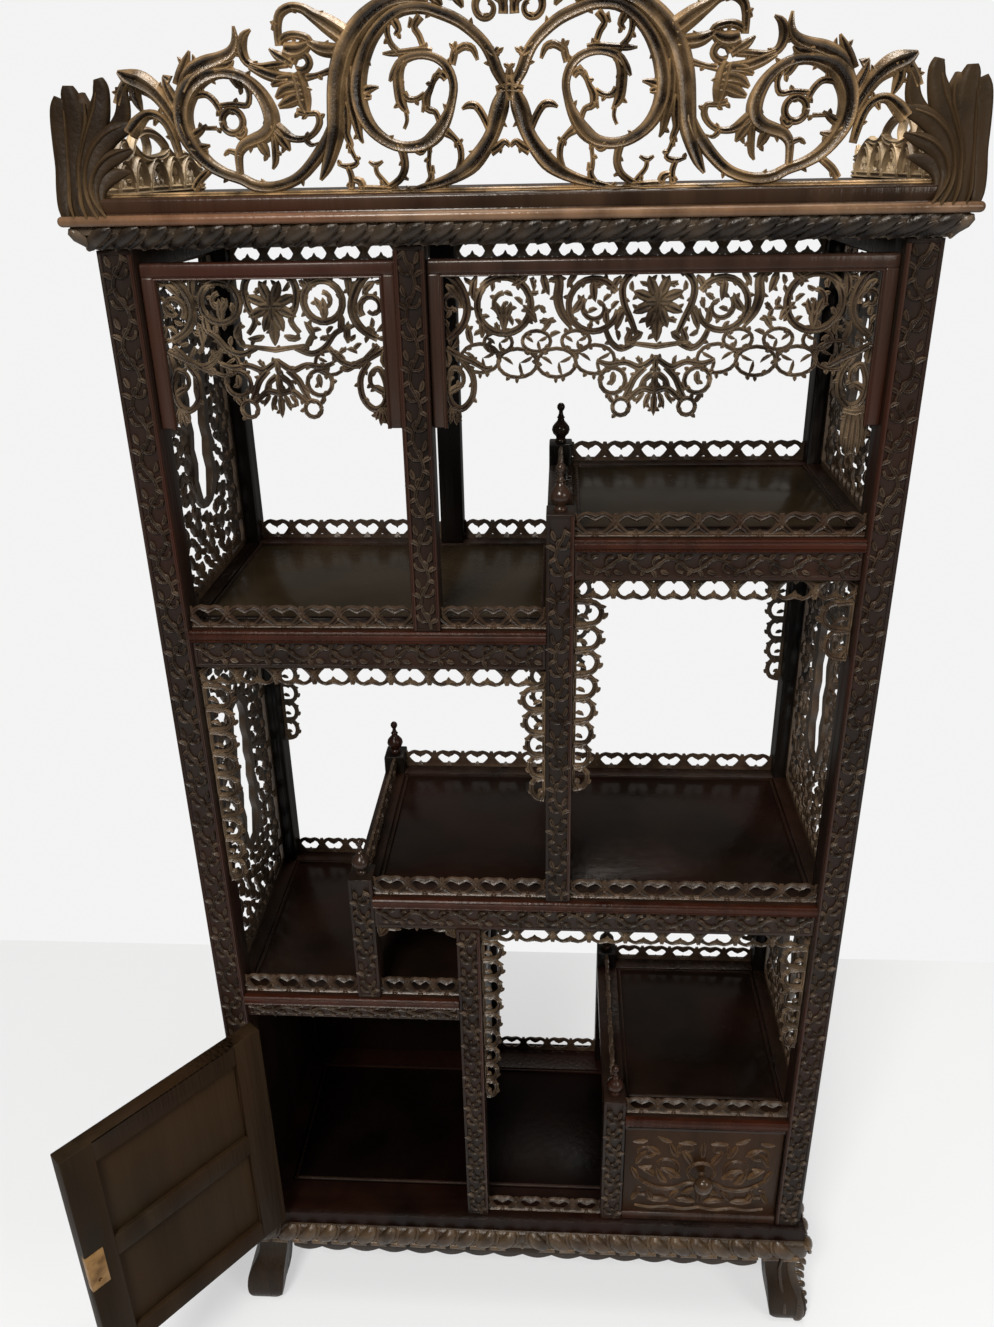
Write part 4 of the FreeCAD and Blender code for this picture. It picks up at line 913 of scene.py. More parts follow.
# A ring of the lower edge, with three small leaves inside and a bud below
def ring(x, z, reach, rise):
    line = coil(0, 0, 1, 1, 0, 360, 1.9, 1.9, 16)
    strokes = [[(x + reach * place[0], z + rise * place[1], place[2]) for place in line]]
    strokes += [leaf(x + 0.9 * reach * math.cos(a), z + 0.9 * rise * math.sin(a), math.degrees(a) + 160,
                     0.7 * reach, 1.9, 40) for a in (0.5, 2.6, 4.4)]
    return strokes + [leaf(x, z - rise, -60, 6, 2.0, -40)]


# The scrolled bracket at an apron's end, with a fan of leaves and, on the wide one, a tassel
def side_bracket(x, tassel=False):
    strokes = [
        flowing([(x + 12, 58, 3.2), (x - 2, 50, 3.2), (x - 16, 44, 3.2), (x - 27, 38, 2.6),
                 (x - 34, 40, 1.4)]),
        flowing([(x - 4, 46, 3.0), (x - 14, 30, 3.2), (x - 13, 10, 3.2), (x - 2, -2, 3.4),
                 (x + 9, 4, 3.4), (x + 12, 22, 3.4), (x + 6, 38, 3.2), (x - 3, 34, 2.6),
                 (x - 4, 24, 2.2), (x + 2, 19, 1.4)]),
        leaf(x + 11, 40, 100, 20, 4.6, -30), leaf(x + 12, 12, 120, 20, 4.0, 50)]
    for heading, length in ((-125, 17), (-105, 21), (-85, 20), (-68, 15)):
        strokes.append(leaf(x + 7, 2, heading, length, 3.6, 10))
    if tassel:
        for offset, drop in ((-8, 44), (-3, 54), (2, 58), (7, 50), (11, 40)):
            thread = [(x + 4 + offset * 0.6, 0, 2.6), (x + 4 + offset, -0.4 * drop, 3.4),
                      (x + 4 + offset * 1.1, -0.8 * drop, 2.6), (x + 4 + offset, -drop, 0.6)]
            strokes.append(flowing(thread, 3))
        strokes.append([(x - 8, -6, 3.0), (x + 4, -8, 4.4), (x + 14, -6, 3.0)])
    return strokes


# Half of the carving of each apron: the other half mirrors it
wide_half = [
    flowing([(8, 132, 3.0), (24, 128, 3.4), (34, 116, 3.6), (33, 100, 3.4), (26, 84, 3.2), (20, 70, 2.6)]),
    coil(62, 97, 25, 24, 150, -170, 3.4, 3.0, 20), coil(60, 95, 14, 6, 40, -260, 2.8, 1.8, 14),
    leaf(62, 122, -75, 22, 4.2, -30), leaf(84, 90, 150, 22, 4.0, -40), leaf(48, 78, 60, 18, 3.6, 40),
    flowing([(102, 134, 3.6), (96, 120, 4.4), (97, 104, 4.8), (93, 90, 4.2), (84, 78, 3.0)]),
    coil(150, 98, 27, 26, 40, 400, 3.8, 3.4, 24), leaf(150, 74, 90, 28, 4.6, 0),
    leaf(151, 84, 140, 20, 4.0, -40), leaf(149, 84, 40, 20, 4.0, 40),
    coil(150, 98, 12, 5, 90, -170, 2.6, 1.6, 12),
    flowing([(212, 132, 4.0), (200, 126, 4.4), (190, 112, 4.2), (186, 94, 4.0), (192, 78, 3.8),
             (206, 66, 3.4)]),
    coil(202, 100, 11, 4, 200, -140, 3.2, 2.0, 12), leaf(206, 118, 200, 20, 4.2, 50),
    leaf(176, 126, -50, 24, 4.0, -50), leaf(126, 128, -60, 20, 4.0, 40), leaf(112, 128, -95, 22, 4.0, -20),
    leaf(118, 82, 70, 22, 3.8, -30), leaf(110, 74, 100, 16, 3.4, 40), leaf(40, 74, 95, 22, 3.8, 30),
    leaf(36, 124, -30, 20, 3.6, -50), leaf(172, 68, 110, 20, 3.6, -40), leaf(182, 62, 60, 20, 3.6, 30),
    leaf(30, 60, 100, 18, 3.6, 20), leaf(14, 72, -60, 16, 3.4, 40), leaf(78, 128, -30, 18, 3.4, -40),
    flowing([(20, 62, 2.6), (34, 56, 3.0), (44, 62, 3.0), (50, 74, 2.6)])]
for x, z in ((60, 46), (98, 43), (137, 43), (174, 48)):
    wide_half += ring(x, z, 19.5, 14)
for x, z in ((79, 64), (118, 64), (156, 63)):
    wide_half += ring(x, z, 14, 10)
narrow_half = [
    coil(52, 104, 20, 19, 60, 420, 3.8, 3.4, 20), leaf(52, 86, 90, 22, 4.4, 0),
    coil(52, 104, 9, 4, 90, -170, 2.6, 1.8, 10), leaf(54, 94, 150, 18, 3.6, -40),
    flowing([(6, 132, 3.0), (20, 128, 3.4), (26, 116, 3.6), (24, 100, 3.2), (18, 86, 3.0), (26, 74, 2.6)]),
    flowing([(112, 134, 4.0), (96, 128, 4.4), (84, 112, 4.6), (80, 94, 4.4), (88, 78, 4.0),
             (104, 68, 3.6)]),
    coil(100, 98, 13, 5, 220, -140, 3.4, 2.0, 13), leaf(104, 122, 200, 18, 4.0, 40),
    leaf(76, 130, -60, 22, 4.0, -40), leaf(66, 74, 60, 22, 3.8, 40), leaf(74, 64, 110, 22, 3.8, -40),
    leaf(34, 128, -30, 16, 3.6, -50), leaf(40, 70, 100, 18, 3.6, 30), leaf(10, 72, -40, 18, 3.6, 50),
    leaf(30, 60, 30, 18, 3.6, 50),
    flowing([(20, 60, 2.8), (36, 54, 3.0), (50, 60, 3.0), (62, 74, 2.8), (78, 80, 2.6)]),
    flowing([(54, 60, 2.6), (66, 46, 3.0), (82, 42, 3.2), (94, 52, 3.0), (104, 62, 2.8)])]
narrow_half += ring(54, 45, 15, 12)
fret_wood = carved("upper_apron_carving", (0.0070, 0.0042, 0.0026), (0.26, 0.190, 0.120), 0.9, 0.24, 38.0,
                   0.4, (0.52, 0.62), 0.36)
frame_wood = wood("reddish_frame_rosewood", (0.0150, 0.0078, 0.0054), (0.034, 0.0180, 0.0125), 0.26, 30.0,
                  0.0002)
fret_up = 1.361
stile_wide = 0.014
stile_drop = 0.148
upper_aprons = (("apron_upper_left", left_post_high.x, divider_low.x, narrow_half, False),
                ("apron_upper_right", divider_high.x, right_post_low.x, wide_half, True))
for node, x0, x1, half, tassel in upper_aprons:
    low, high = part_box(node)
    middle = (x0 + x1) / 2
    reach = 500 * (x1 - x0) - 14
    rail_low = high.z - stile_wide
    centre = lotus(0, 100, 25, 5.4) + [leaf(0, 88, -90, 26, 5.6, 0),
                                       [(-30, 62, 2.0), (0, 58, 2.8), (30, 62, 2.0)]]
    strokes = half + pendant()
    strokes = strokes + mirrored(strokes + side_bracket(reach - 14))
    strokes = strokes + side_bracket(reach - 14, tassel) + centre
    strokes = bolder(strokes, 1.02)
    strokes += barbs(strokes, 15, 3.2)
    strokes += foliage(strokes, lattice(-reach, reach, 58, 128, 6.0), 5.6, 2.7)
    strokes += foliage(strokes, lattice(-38, 38, 6, 50, 6.5), 6.2, 2.4)
    fret = carve(strokes, "leaf", (middle, low.y + 0.008, fret_up))
    settle(fret, node + "_fret", fret_wood, "cabinet", "carved_rosewood", node)
    frame_low = rail_low - stile_drop
    frame_edge = low.y + 0.001
    along = [[(0, 0, 2.0), (1000 * (x1 - x0 - 2 * stile_wide), 0, 2.0)]]
    down = [[(0, 0, 2.0), (0, -1000 * stile_drop, 2.0)]]
    parts = [bar((x0, low.y, rail_low), (x1, high.y, high.z), 0.003, 3),
             bar((x0, low.y, frame_low), (x0 + stile_wide, high.y, rail_low + 0.002), 0.003, 3),
             bar((x1 - stile_wide, low.y, frame_low), (x1, high.y, rail_low + 0.002), 0.003, 3),
             carve(along, "stem", (x0 + stile_wide, frame_edge, rail_low)),
             carve(down, "stem", (x0 + stile_wide, frame_edge, rail_low)),
             carve(down, "stem", (x1 - stile_wide, frame_edge, rail_low))]
    settle(joined(parts), node + "_frame", frame_wood, "cabinet", "reddish_rosewood", node)


# Side frets: a thin pierced panel fills each side opening between the posts, sawn with leaves and
# small holes round one tall narrow slot, and let into grooves.
def side_fret(depth, height):
    slot = 25.0
    low, high = 0.3 * height, 0.7 * height
    middle = depth / 2
    strokes = [[(0, 2.5, 3.4), (depth, 2.5, 3.4)], [(0, height - 2.5, 3.4), (depth, height - 2.5, 3.4)],
               [(2.5, 0, 3.4), (2.5, height, 3.4)], [(depth - 2.5, 0, 3.4), (depth - 2.5, height, 3.4)]]
    count = max(2, round((high - low) / 40))
    for side in (-1, 1):
        wave = [(middle + side * (slot + 7 - 3 * math.cos(2 * math.pi * k / 4)),
                 low + (high - low) * k / (4 * count), 6.2) for k in range(4 * count + 1)]
        strokes.append([(middle, low - 16, 4.2), (middle + side * 16, low - 14, 4.2)] + wave
                       + [(middle + side * 16, high + 14, 4.2), (middle, high + 16, 4.2)])
        for k in range(int(height / 44) + 1):
            z = 12 + 44 * k
            if z < height - 16:
                x = middle + side * (middle - 30)
                strokes.append(coil(x, z + 10, 12, 4, 0, side * 420, 3.2, 2.0, 12))
    spots = [(x, z) for x, z in lattice(6, depth - 6, 6, height - 6, 10.0)
             if abs(x - middle) > slot + 6 or z < low - 12 or z > high + 12]
    strokes = bolder(strokes, 1.15)
    return strokes + foliage(strokes, spots, 8.8, 4.8)


fret_front = front_y + post_deep
fret_back = rear_y - post_deep
side_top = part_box("top_side_rails")[0].z
side_wood = carved("side_fret_carving", (0.0065, 0.0040, 0.0026), (0.075, 0.050, 0.031), 0.6, 0.3, 33.0,
                   0.3, (0.515, 0.62), 0.26)
side_openings = {"left_side_frets": ((level["upper_left"], side_top),
                                     (level["lower_left"], below["upper_left"])),
                 "right_side_frets": ((level["upper_right"], side_top),
                                      (level["middle"], below["upper_right"]),
                                      (level["drawer_top"], below["middle"]))}
for node, openings in side_openings.items():
    low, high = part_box(node)
    turn = -90.0 if node == "left_side_frets" else 90.0
    x = (low.x + high.x) / 2
    foot = fret_back if turn < 0 else fret_front
    parts = [carve(side_fret(depth_between, 1000 * (z1 - z0)), "leaf", (x, foot, z0), turn)
             for z0, z1 in openings]
    settle(joined(parts), node + "_carving", side_wood, "cabinet", "carved_rosewood", node)

# Rear frieze: a pierced strip under the cornice between the rear posts, like a gallery turned over,
# with two bands above it and small lobes along its edge. It's tongued into the posts.
low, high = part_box("rear_top_frieze")
frieze = []
for x0, x1 in ((left_post_high.x, divider_low.x), (divider_high.x, right_post_low.x)):
    length = 1000 * (x1 - x0)
    strokes = shifted(hanging(gallery(length, 28.0, 41.0, 2.4), 28.0), 0, -13)
    strokes += [[(0, 19, 4.0), (length, 19, 4.0)], [(0, 25, 3.0), (length, 25, 3.0)]]
    strokes += [[(k, -13, 1.6), (k + 7, -9, 3.0), (k + 14, -13, 1.6)]
                for k in range(8, int(length) - 16, 19)]
    frieze.append(carve(strokes, "leaf", (x1, high.y - 0.003, low.z), 180.0))
settle(joined(frieze), "rear_frieze_carving", apron_wood, "cabinet", "carved_rosewood", "rear_top_frieze")
eased("top_side_rails", rail_wood, "cabinet", "dark_rosewood")

# Cornice: a mitred rope moulding of long leaning lobes that curves in below, under a moulded board
# with a rounded reddish bead along its lower edge and a dark fascia set back above it.
rope_wood = carved("rope_moulding_carving", (0.0022, 0.0013, 0.0009), (0.115, 0.082, 0.055), 0.9, 0.24,
                   28.0, 0.2, (0.532, 0.60), 0.22)
rope_low, rope_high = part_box("cornice_rope_moulding")
rope_board = 0.060
rope_bars = []
# Three steps behind the lobes, each further in and lower than the one above it
for inset, foot, top in ((0.008, 0.0140, 0.0220), (0.014, 0.0060, 0.0180), (0.022, 0.0005, 0.0100)):
    foot += rope_low.z
    top += rope_low.z
    for x0, x1, y0, y1 in (
            (rope_low.x + inset, rope_high.x - inset, rope_low.y + inset, rope_low.y + 0.066),
            (rope_low.x + inset, rope_low.x + 0.066, rope_low.y + rope_board, rope_high.y),
            (rope_high.x - 0.066, rope_high.x - inset, rope_low.y + rope_board, rope_high.y)):
        rope_bars.append(bar((x0, y0, foot), (x1, y1, top), 0.003))
rope_bars.append(bar((rope_low.x + 0.022, rope_high.y - rope_board, rope_low.z),
                     (rope_high.x - 0.022, rope_high.y, rope_high.z)))


# Leaning lobes along a rail, each with a thin twin, between a start and an end left plain
def rope(length, start, end, pitch=27.0):
    lobe = ((-17, 1.0, 2.4, -22), (-12, 5, 5.4, -18), (-5, 10.5, 7.6, -11), (4, 15.5, 7.0, -7.0),
            (11, 19, 4.6, -5.5), (15, 20.6, 1.6, -5.0))
    twin = ((-4, 1.5, 2.0, -22), (1, 4.6, 3.2, -18.6), (8, 9.2, 4.0, -13), (16, 13.0, 3.2, -9.4),
            (21, 15.2, 1.2, -8))
    strokes = []
    count = round((length - start - end) / pitch)
    for index in range(count + 1):
        x = start + (length - start - end) * index / max(1, count)
        for stroke in (lobe, twin):
            strokes.append(flowing([(x + across, up, half, lift) for across, up, half, lift in stroke], 2))
    return strokes


rope_front = 1000 * (rope_high.x - rope_low.x)
rope_side = 1000 * (rope_high.y - rope_low.y)
rope_bars += [carve(rope(rope_front, 34, 34), "lobe", (rope_low.x, rope_low.y, rope_low.z)),
              carve(rope(rope_side, 20, 34), "lobe", (rope_low.x, rope_high.y, rope_low.z), -90.0),
              carve(rope(rope_side, 34, 24), "lobe", (rope_high.x, rope_low.y, rope_low.z), 90.0)]
corner_lobe = [[(0, 1.0, 2.4, -32), (0, 6, 5.6, -26), (0, 12, 7.6, -17.5), (0, 17, 6.6, -13),
                (0, 20.6, 2.4, -12)]]
for x, turn in ((rope_low.x, -45.0), (rope_high.x, 45.0)):
    rope_bars.append(carve(corner_lobe, "lobe", (x, rope_low.y, rope_low.z), turn))
settle(joined(rope_bars), "rope_moulding_carving", rope_wood, "cabinet", "carved_rosewood",
       "cornice_rope_moulding")

board_wood = wood("cornice_board_rosewood", (0.0130, 0.0070, 0.0040), (0.032, 0.0180, 0.0105), 0.2, 26.0,
                  0.0002, (0.030, 0.0090, 0.0040), 0.2)
# The bead is its own reddish brown lightened well past the board: partly a painted highlight along its
# rounded top
cornice_bead_highlight_wood = wood("cornice_bead_highlight_rosewood", (0.062, 0.034, 0.018), (0.148, 0.088, 0.051), 0.2, 30.0,
                         0.0002, (0.10, 0.040, 0.020))
# The cornice board: a fascia set back above a step, and the bead along the lower edge
board_low, board_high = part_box("cornice_board")
board_bars = [bar((board_low.x + 0.008, board_low.y + 0.008, board_low.z + 0.009),
                  (board_high.x - 0.008, board_high.y - 0.0002, board_high.z), 0.0034, 4),
              bar((board_low.x + 0.007, board_low.y + 0.007, board_low.z + 0.002),
                  (board_high.x - 0.007, board_high.y - 0.0002, board_low.z + 0.011))]
settle(joined(board_bars), "cornice_board_moulding", board_wood, "cabinet", "dark_rosewood",
       "cornice_board")
bead = bar((board_low.x, board_low.y, board_low.z), (board_high.x, board_high.y, board_low.z + 0.0095),
           0.0044, 4)
settle(bead, "cornice_bead", cornice_bead_highlight_wood, "cabinet", "reddish_rosewood")

# Cupboard and drawer bay: thin solid panels housed in grooves in the posts. They are stained near black
# and dull: painted shade inside the cupboard and the bay.
shaded_inside_wood = wood("shaded_inside_rosewood", (0.0030, 0.0018, 0.0013), (0.0070, 0.0042, 0.0028), 0.42, 20.0,
                   0.0004, (0.0090, 0.0030, 0.0016), 0.10)
for node in ("cupboard_side_panel", "cupboard_divider_panel", "cupboard_back_panel", "drawer_bay_panels"):
    eased(node, shaded_inside_wood, "cabinet", "panel_rosewood", 0.0006)

# Crest: two pierced boards of scrolling leaves that meet in the middle of the front, carved in the
# round, golden brown on the high parts as rubbed wear and painted highlight. They stand on the cornice
# board; the lists hold one half, from the middle and up from the board, and the other half mirrors it.
crest_stems = [
    [(3, 85, 4), (11, 98, 5), (15, 108, 5), (22, 119, 4.6), (33, 129, 4.6), (45, 137, 4.8), (60, 143, 4.8),
     (75, 147, 4.6), (93, 146, 4.6), (107, 139, 5), (119, 128, 5.4), (128, 114, 6), (134, 98, 6.6),
     (136, 82, 6.8), (133, 66, 6.4), (124, 52, 5.4), (110, 42, 4.6), (95, 38, 4.6), (79, 40, 5),
     (67, 48, 6.2), (58, 60, 5), (52, 74, 3.6), (50, 88, 3.6), (55, 101, 3.8), (66, 109, 3.4), (81, 111, 3),
     (95, 107, 3.6), (103, 98, 3), (107, 91, 1.2)],
    [(70, 151, 2), (87, 153.5, 4), (104, 152, 6), (120, 144, 7.5), (134, 132, 8.5), (145, 117, 9),
     (151, 102, 9), (155, 86, 8.4), (157, 68, 8), (159, 52, 7.4), (164, 36, 6), (170, 22, 4.4),
     (176, 12, 1.4)],
    [(5, 82, 4), (8, 72, 7.4), (12, 60, 7.6), (15, 50, 6.4), (22, 38, 6.6), (34, 24, 7.2), (47, 15, 5.6),
     (62, 9, 4.4), (78, 5, 3.4), (92, 2, 2)],
    [(160, 60, 4), (166, 47, 5), (174, 36, 5.4), (183, 26, 5), (193, 17, 4.8), (204, 11, 4.6),
     (220, 7, 4.6), (237, 8, 4.8), (250, 14, 4.6), (265, 19, 4.6), (279, 27, 5.4), (290, 39, 6.4),
     (297, 52, 7.6), (299, 65, 8), (297, 77, 8.4), (290, 89, 8.6), (279, 97, 7), (263, 101, 4.6),
     (248, 100, 4.6), (236, 95, 4.6), (226, 86, 5.2), (220, 76, 6), (217, 66, 6.6), (218, 57, 6.4),
     (225, 50, 6), (236, 46, 5.4), (244, 43, 4.8), (250, 36, 3.8), (251, 27, 3.2), (251, 17, 3)],
    [(296, 88, 5), (287, 101, 6.6), (273, 108, 6.6), (259, 112, 5.4), (248, 117, 4.4), (243, 125, 3.2),
     (243, 137, 1.2)],
]
crest_leaves = [
    [(299, 92, 5), (292, 106, 4.6), (285, 119, 1)], [(264, 106, 5), (252, 107, 4), (246, 111, 1)],
    [(306, 96, 4), (312, 100, 1)], [(296, 44, 5), (288, 41, 4.4), (276, 43, 1)],
    [(293, 50, 4), (284, 55, 3), (277, 60, 1)], [(279, 57, 1.6), (268, 57, 1.8)],
    [(291, 82, 4), (283, 84, 2.8), (274, 84, 2.6), (267, 78, 2.6), (263, 70, 2.4)],
    [(284, 36, 4), (279, 38, 1)],
    [(264, 75, 2), (250, 76, 2.2), (238, 75, 2.4), (235, 84, 2.2), (238, 93, 2.6)],
    [(249, 99, 4), (244, 91, 3), (240, 88, 1)], [(251, 52, 2), (246, 50, 3.6), (241, 55, 1.4)],
    [(230, 46, 4), (226, 38, 4), (222, 32, 1)], [(216, 50, 3), (216, 38, 3), (217, 28, 2.6), (220, 22, 1)],
    [(214, 54, 4), (207, 44, 4.6), (202, 37, 1)], [(247, 34, 3), (259, 38, 2), (264, 34, 1)],
    [(216, 59, 4.6), (208, 52, 4.8), (198, 47, 3), (187, 47, 2.4), (178, 52, 2.4), (173, 60, 2.8),
     (175, 67, 2.4), (183, 67, 2), (193, 69, 3)], [(188, 47, 2.4), (183, 42, 2), (178, 42, 1)],
    [(228, 134, 1), (235, 129, 3.4), (238, 119, 4.2), (234, 109, 3.4), (224, 105, 3), (211, 106, 3),
     (198, 107, 3)], [(232, 106, 3), (221, 101, 4.4), (209, 97, 4.6), (198, 96, 4)],
    [(213, 119, 1), (207, 114, 3.4), (200, 110, 3.8), (193, 106, 3)],
    [(200, 119, 4.6), (192, 117, 6.6), (184, 118, 5.4), (177, 122, 3)],
    [(203, 124, 2.6), (197, 128, 3.2), (188, 129, 3), (178, 126, 3), (174, 119, 2)],
    [(194, 108, 4), (188, 114, 3), (181, 113, 3), (178, 107, 3), (182, 102, 3), (189, 100, 4)],
    [(214, 90, 1.4), (206, 94, 4.6), (197, 95, 5), (189, 94, 4)],
    [(211, 80, 1.4), (203, 86, 5), (194, 88, 6), (186, 88, 4)],
    [(209, 73, 1.8), (200, 77, 4.8), (192, 80, 5), (185, 80, 4)],
    [(191, 100, 5), (188, 90, 6), (186, 78, 6), (184, 68, 3)],
    [(182, 96, 3), (174, 97, 2.2), (166, 99, 2.2), (152, 103, 3.4)],
    [(204, 121, 3), (204, 135, 3.2), (201, 145, 3.6), (192, 150, 3.4), (181, 149, 3.6), (171, 143, 4.8),
     (160, 137, 7), (143, 126, 8)], [(205, 139, 3), (209, 133, 1)],
    [(178, 123, 2.6), (170, 119, 4.6), (161, 117, 5.4), (146, 116, 5)],
    [(142, 104, 3), (143, 88, 4.8), (142, 72, 4.8), (139, 58, 4), (137, 48, 2.6), (134, 42, 1)],
    [(148, 76, 3.8), (148, 60, 3.6), (149, 50, 3), (146, 41, 2.6), (148, 34, 1)],
    [(131, 84, 4.6), (124, 86, 2.8), (117, 87, 1)], [(130, 80, 4), (124, 79, 1.6)],
    [(107, 137, 3), (107, 128, 2.4), (104, 120, 2.4), (98, 114, 2.6)],
    [(101, 139, 3.6), (97, 131, 2.8), (101, 127, 1)],
    [(112, 113, 1), (103, 113, 2.4), (90, 114, 2.6), (76, 115, 2.8), (68, 114, 2.4)],
    [(77, 141, 3.4), (83, 133, 2.8), (79, 126, 2.6), (76, 118, 2.6)], [(84, 139, 3), (88, 132, 1)],
    [(94, 108, 3), (99, 97, 4.2), (99, 84, 4.4), (97, 73, 4), (91, 65, 1)],
    [(95, 82, 3), (91, 77, 2.6), (83, 77, 2.2), (76, 81, 2.2)],
    [(94, 68, 1.8), (93, 60, 1.6), (96, 53, 1.4)],
    [(60, 99, 3), (67, 92, 2.4), (71, 84, 2.4), (75, 77, 3.6), (74, 69, 3), (67, 66, 2.4), (64, 59, 2.4)],
    [(56, 92, 3), (60, 96, 3.4), (68, 95, 1)], [(76, 72, 3), (79, 66, 1)],
    [(51, 103, 3), (48, 114, 3), (47, 121, 1)],
    [(49, 112, 2.6), (40, 117, 3), (32, 115, 2.8), (28, 106, 1.4)],
    [(22, 117, 3), (13, 111, 4.4), (10, 116, 1)],
    [(43, 68, 1.2), (37, 71, 2.8), (30, 70, 3), (24, 62, 3), (19, 52, 3)],
    [(0, 37, 1.6), (5, 41, 2.6), (11, 37, 3.4), (18, 33, 4)],
    [(58, 50, 4), (51, 45, 2.6), (46, 38, 2.8), (45, 28, 2.6), (48, 18, 2.6)], [(47, 40, 2.4), (43, 44, 1)],
    [(73, 41, 2.4), (74, 32, 1.8), (75, 22, 2), (73, 13, 2.8), (78, 6, 2.4)], [(72, 16, 2.6), (71, 23, 1)],
    [(101, 41, 3.8), (98, 32, 3.4), (97, 22, 3.2), (101, 13, 3), (109, 7, 2.8), (118, 3, 2.4)],
    [(87, 38, 3.6), (82, 34, 3), (77, 35, 1)], [(100, 14, 2.4), (94, 11, 1)],
    [(147, 40, 2.4), (144, 33, 1.8), (141, 26, 2), (149, 23, 2.4), (159, 25, 1.2)],
    [(150, 23, 2.4), (147, 14, 2.6), (148, 4, 2.6)], [(130, 27, 1.2), (124, 24, 2.2), (117, 27, 1.2)],
    [(124, 23, 2), (123, 17, 2), (117, 10, 2.2), (113, 5, 2.4)],
    [(145, 12, 2.4), (139, 10, 3.4), (137, 4, 3.2)], [(141, 4, 3), (128, 4, 2.8), (110, 3, 2.8)],
    [(299, 50, 3.4), (305, 63, 5.2), (312, 76, 6), (321, 87, 6.6), (333, 95, 8.2), (344, 99, 7),
     (353, 104, 1.6)], [(338, 97, 5), (340, 86, 4.6), (338, 78, 3.4), (335, 71, 1)],
    [(302, 74, 5), (309, 88, 4), (312, 99, 1)], [(345, 97, 4), (352, 88, 4), (357, 78, 4)],
    [(306, 34, 3), (309, 48, 3.6), (314, 61, 3.6), (322, 68, 3.6), (332, 69, 4), (342, 62, 5.6),
     (350, 54, 6)], [(323, 66, 3), (326, 60, 1)], [(280, 22, 3), (290, 14, 3.2), (296, 6, 3)],
    coil(253, 62, 9.5, 9.5, 0, 360, 2.8, 2.8, 12), coil(19, 146, 15, 4, 200, -250, 3.8, 1.8, 14),
    leaf(3, 148, 74, 38, 5.5, 14), leaf(8, 150, 48, 30, 4.6, 30), leaf(14, 160, 22, 30, 4.0, 60),
    [(-12, 82, 3.4), (0, 84, 4.6), (12, 82, 3.4)], [(0, 74, 5), (0, 94, 5)],
    leaf(40, 146, 80, 20, 3.6, -60), leaf(58, 148, 70, 16, 3.4, -70), leaf(0, 88, 90, 14, 3.6),
]
# The end leaf: broad flutes that rise from a foot lapped over the board's end and arch inwards to
# their tips, with thin veins between them
crest_flutes = [
    [(414, -21, 3, 19), (416, -8, 6, 17), (417, 8, 7.2, 10), (416.5, 26, 7.4, 4), (416, 46, 8, 1),
     (415, 64, 8, 0), (413, 76, 7.6, 0), (410, 84, 5.6, 0)],
    [(400, -20, 3, 19), (402, -8, 7, 17), (404, 8, 9, 10), (404, 26, 9.6, 4), (402, 46, 10, 1),
     (400, 62, 10.4, 0), (400, 76, 9.6, 0), (401, 88, 7.6, 0), (401, 94, 4.6, 0)],
    [(389, -19, 2.4, 20), (393, -7, 5.4, 18), (396, 8, 7.6, 11), (396, 24, 8.6, 6), (390, 42, 9.6, 3),
     (381, 58, 10, 2), (376, 72, 9.6, 1), (372, 84, 7.6, 0), (371, 93, 6.6, 0), (372, 99, 4.4, 0)],
    [(383, -18, 2, 20), (388, -6, 4.6, 18), (391, 8, 6.4, 12), (388, 26, 8, 8), (379, 42, 9, 5),
     (367, 53, 8.4, 3), (353, 59, 6, 1), (339, 62, 1.2, 0)],
    [(379, -16, 2, 19), (385, -5, 4, 17), (388, 7, 5.6, 12), (384, 20, 6.8, 9), (374, 31, 7.4, 6),
     (362, 36, 6, 3), (349, 40, 1.4, 1)],
    [(382, -4, 3, 14), (382, 7, 5.4, 10), (376, 15, 6.4, 7), (366, 20, 5.6, 4), (354, 22, 1.2, 1)],
    [(384, 4, 6, 1), (402, 36, 17, -3), (398, 66, 18, -3), (384, 76, 14, -3)],
    [(352, 92, 5, 1), (352, 78, 6, 1), (356, 66, 7, 0), (366, 56, 6, 0)]]
crest_veins = [
    [(406, -17, 0.8, 22), (409, -4, 1.6, 20.5), (410.5, 12, 1.7, 12), (410.5, 30, 1.6, 6),
     (409, 50, 1.5, 4), (407, 74, 0.8, 3)],
    [(394, -17, 1.0, 22.5), (398, -4, 1.8, 21), (400, 12, 1.8, 13), (399, 30, 1.7, 8), (394, 48, 1.6, 6),
     (388, 64, 1.4, 5), (387, 80, 0.8, 3)],
    [(383.5, -17, 1.2, 22.5), (390, -5, 2.0, 21), (394, 9, 2.0, 15), (392, 26, 1.8, 11), (384, 42, 1.7, 8),
     (371, 54, 1.5, 6), (356, 60, 0.8, 3)],
    [(376, -16, 1.2, 21.5), (385, -4, 2.0, 19.5), (389, 8, 2.0, 15.5), (385, 22, 1.8, 12),
     (375, 33, 1.6, 9), (362, 39, 1.4, 5), (350, 42, 0.8, 2)],
    [(402, 10, 1.0, 12.5), (397, 34, 1.5, 7.5), (388, 56, 1.4, 5), (379, 74, 1.2, 4), (375, 88, 0.8, 2)]]
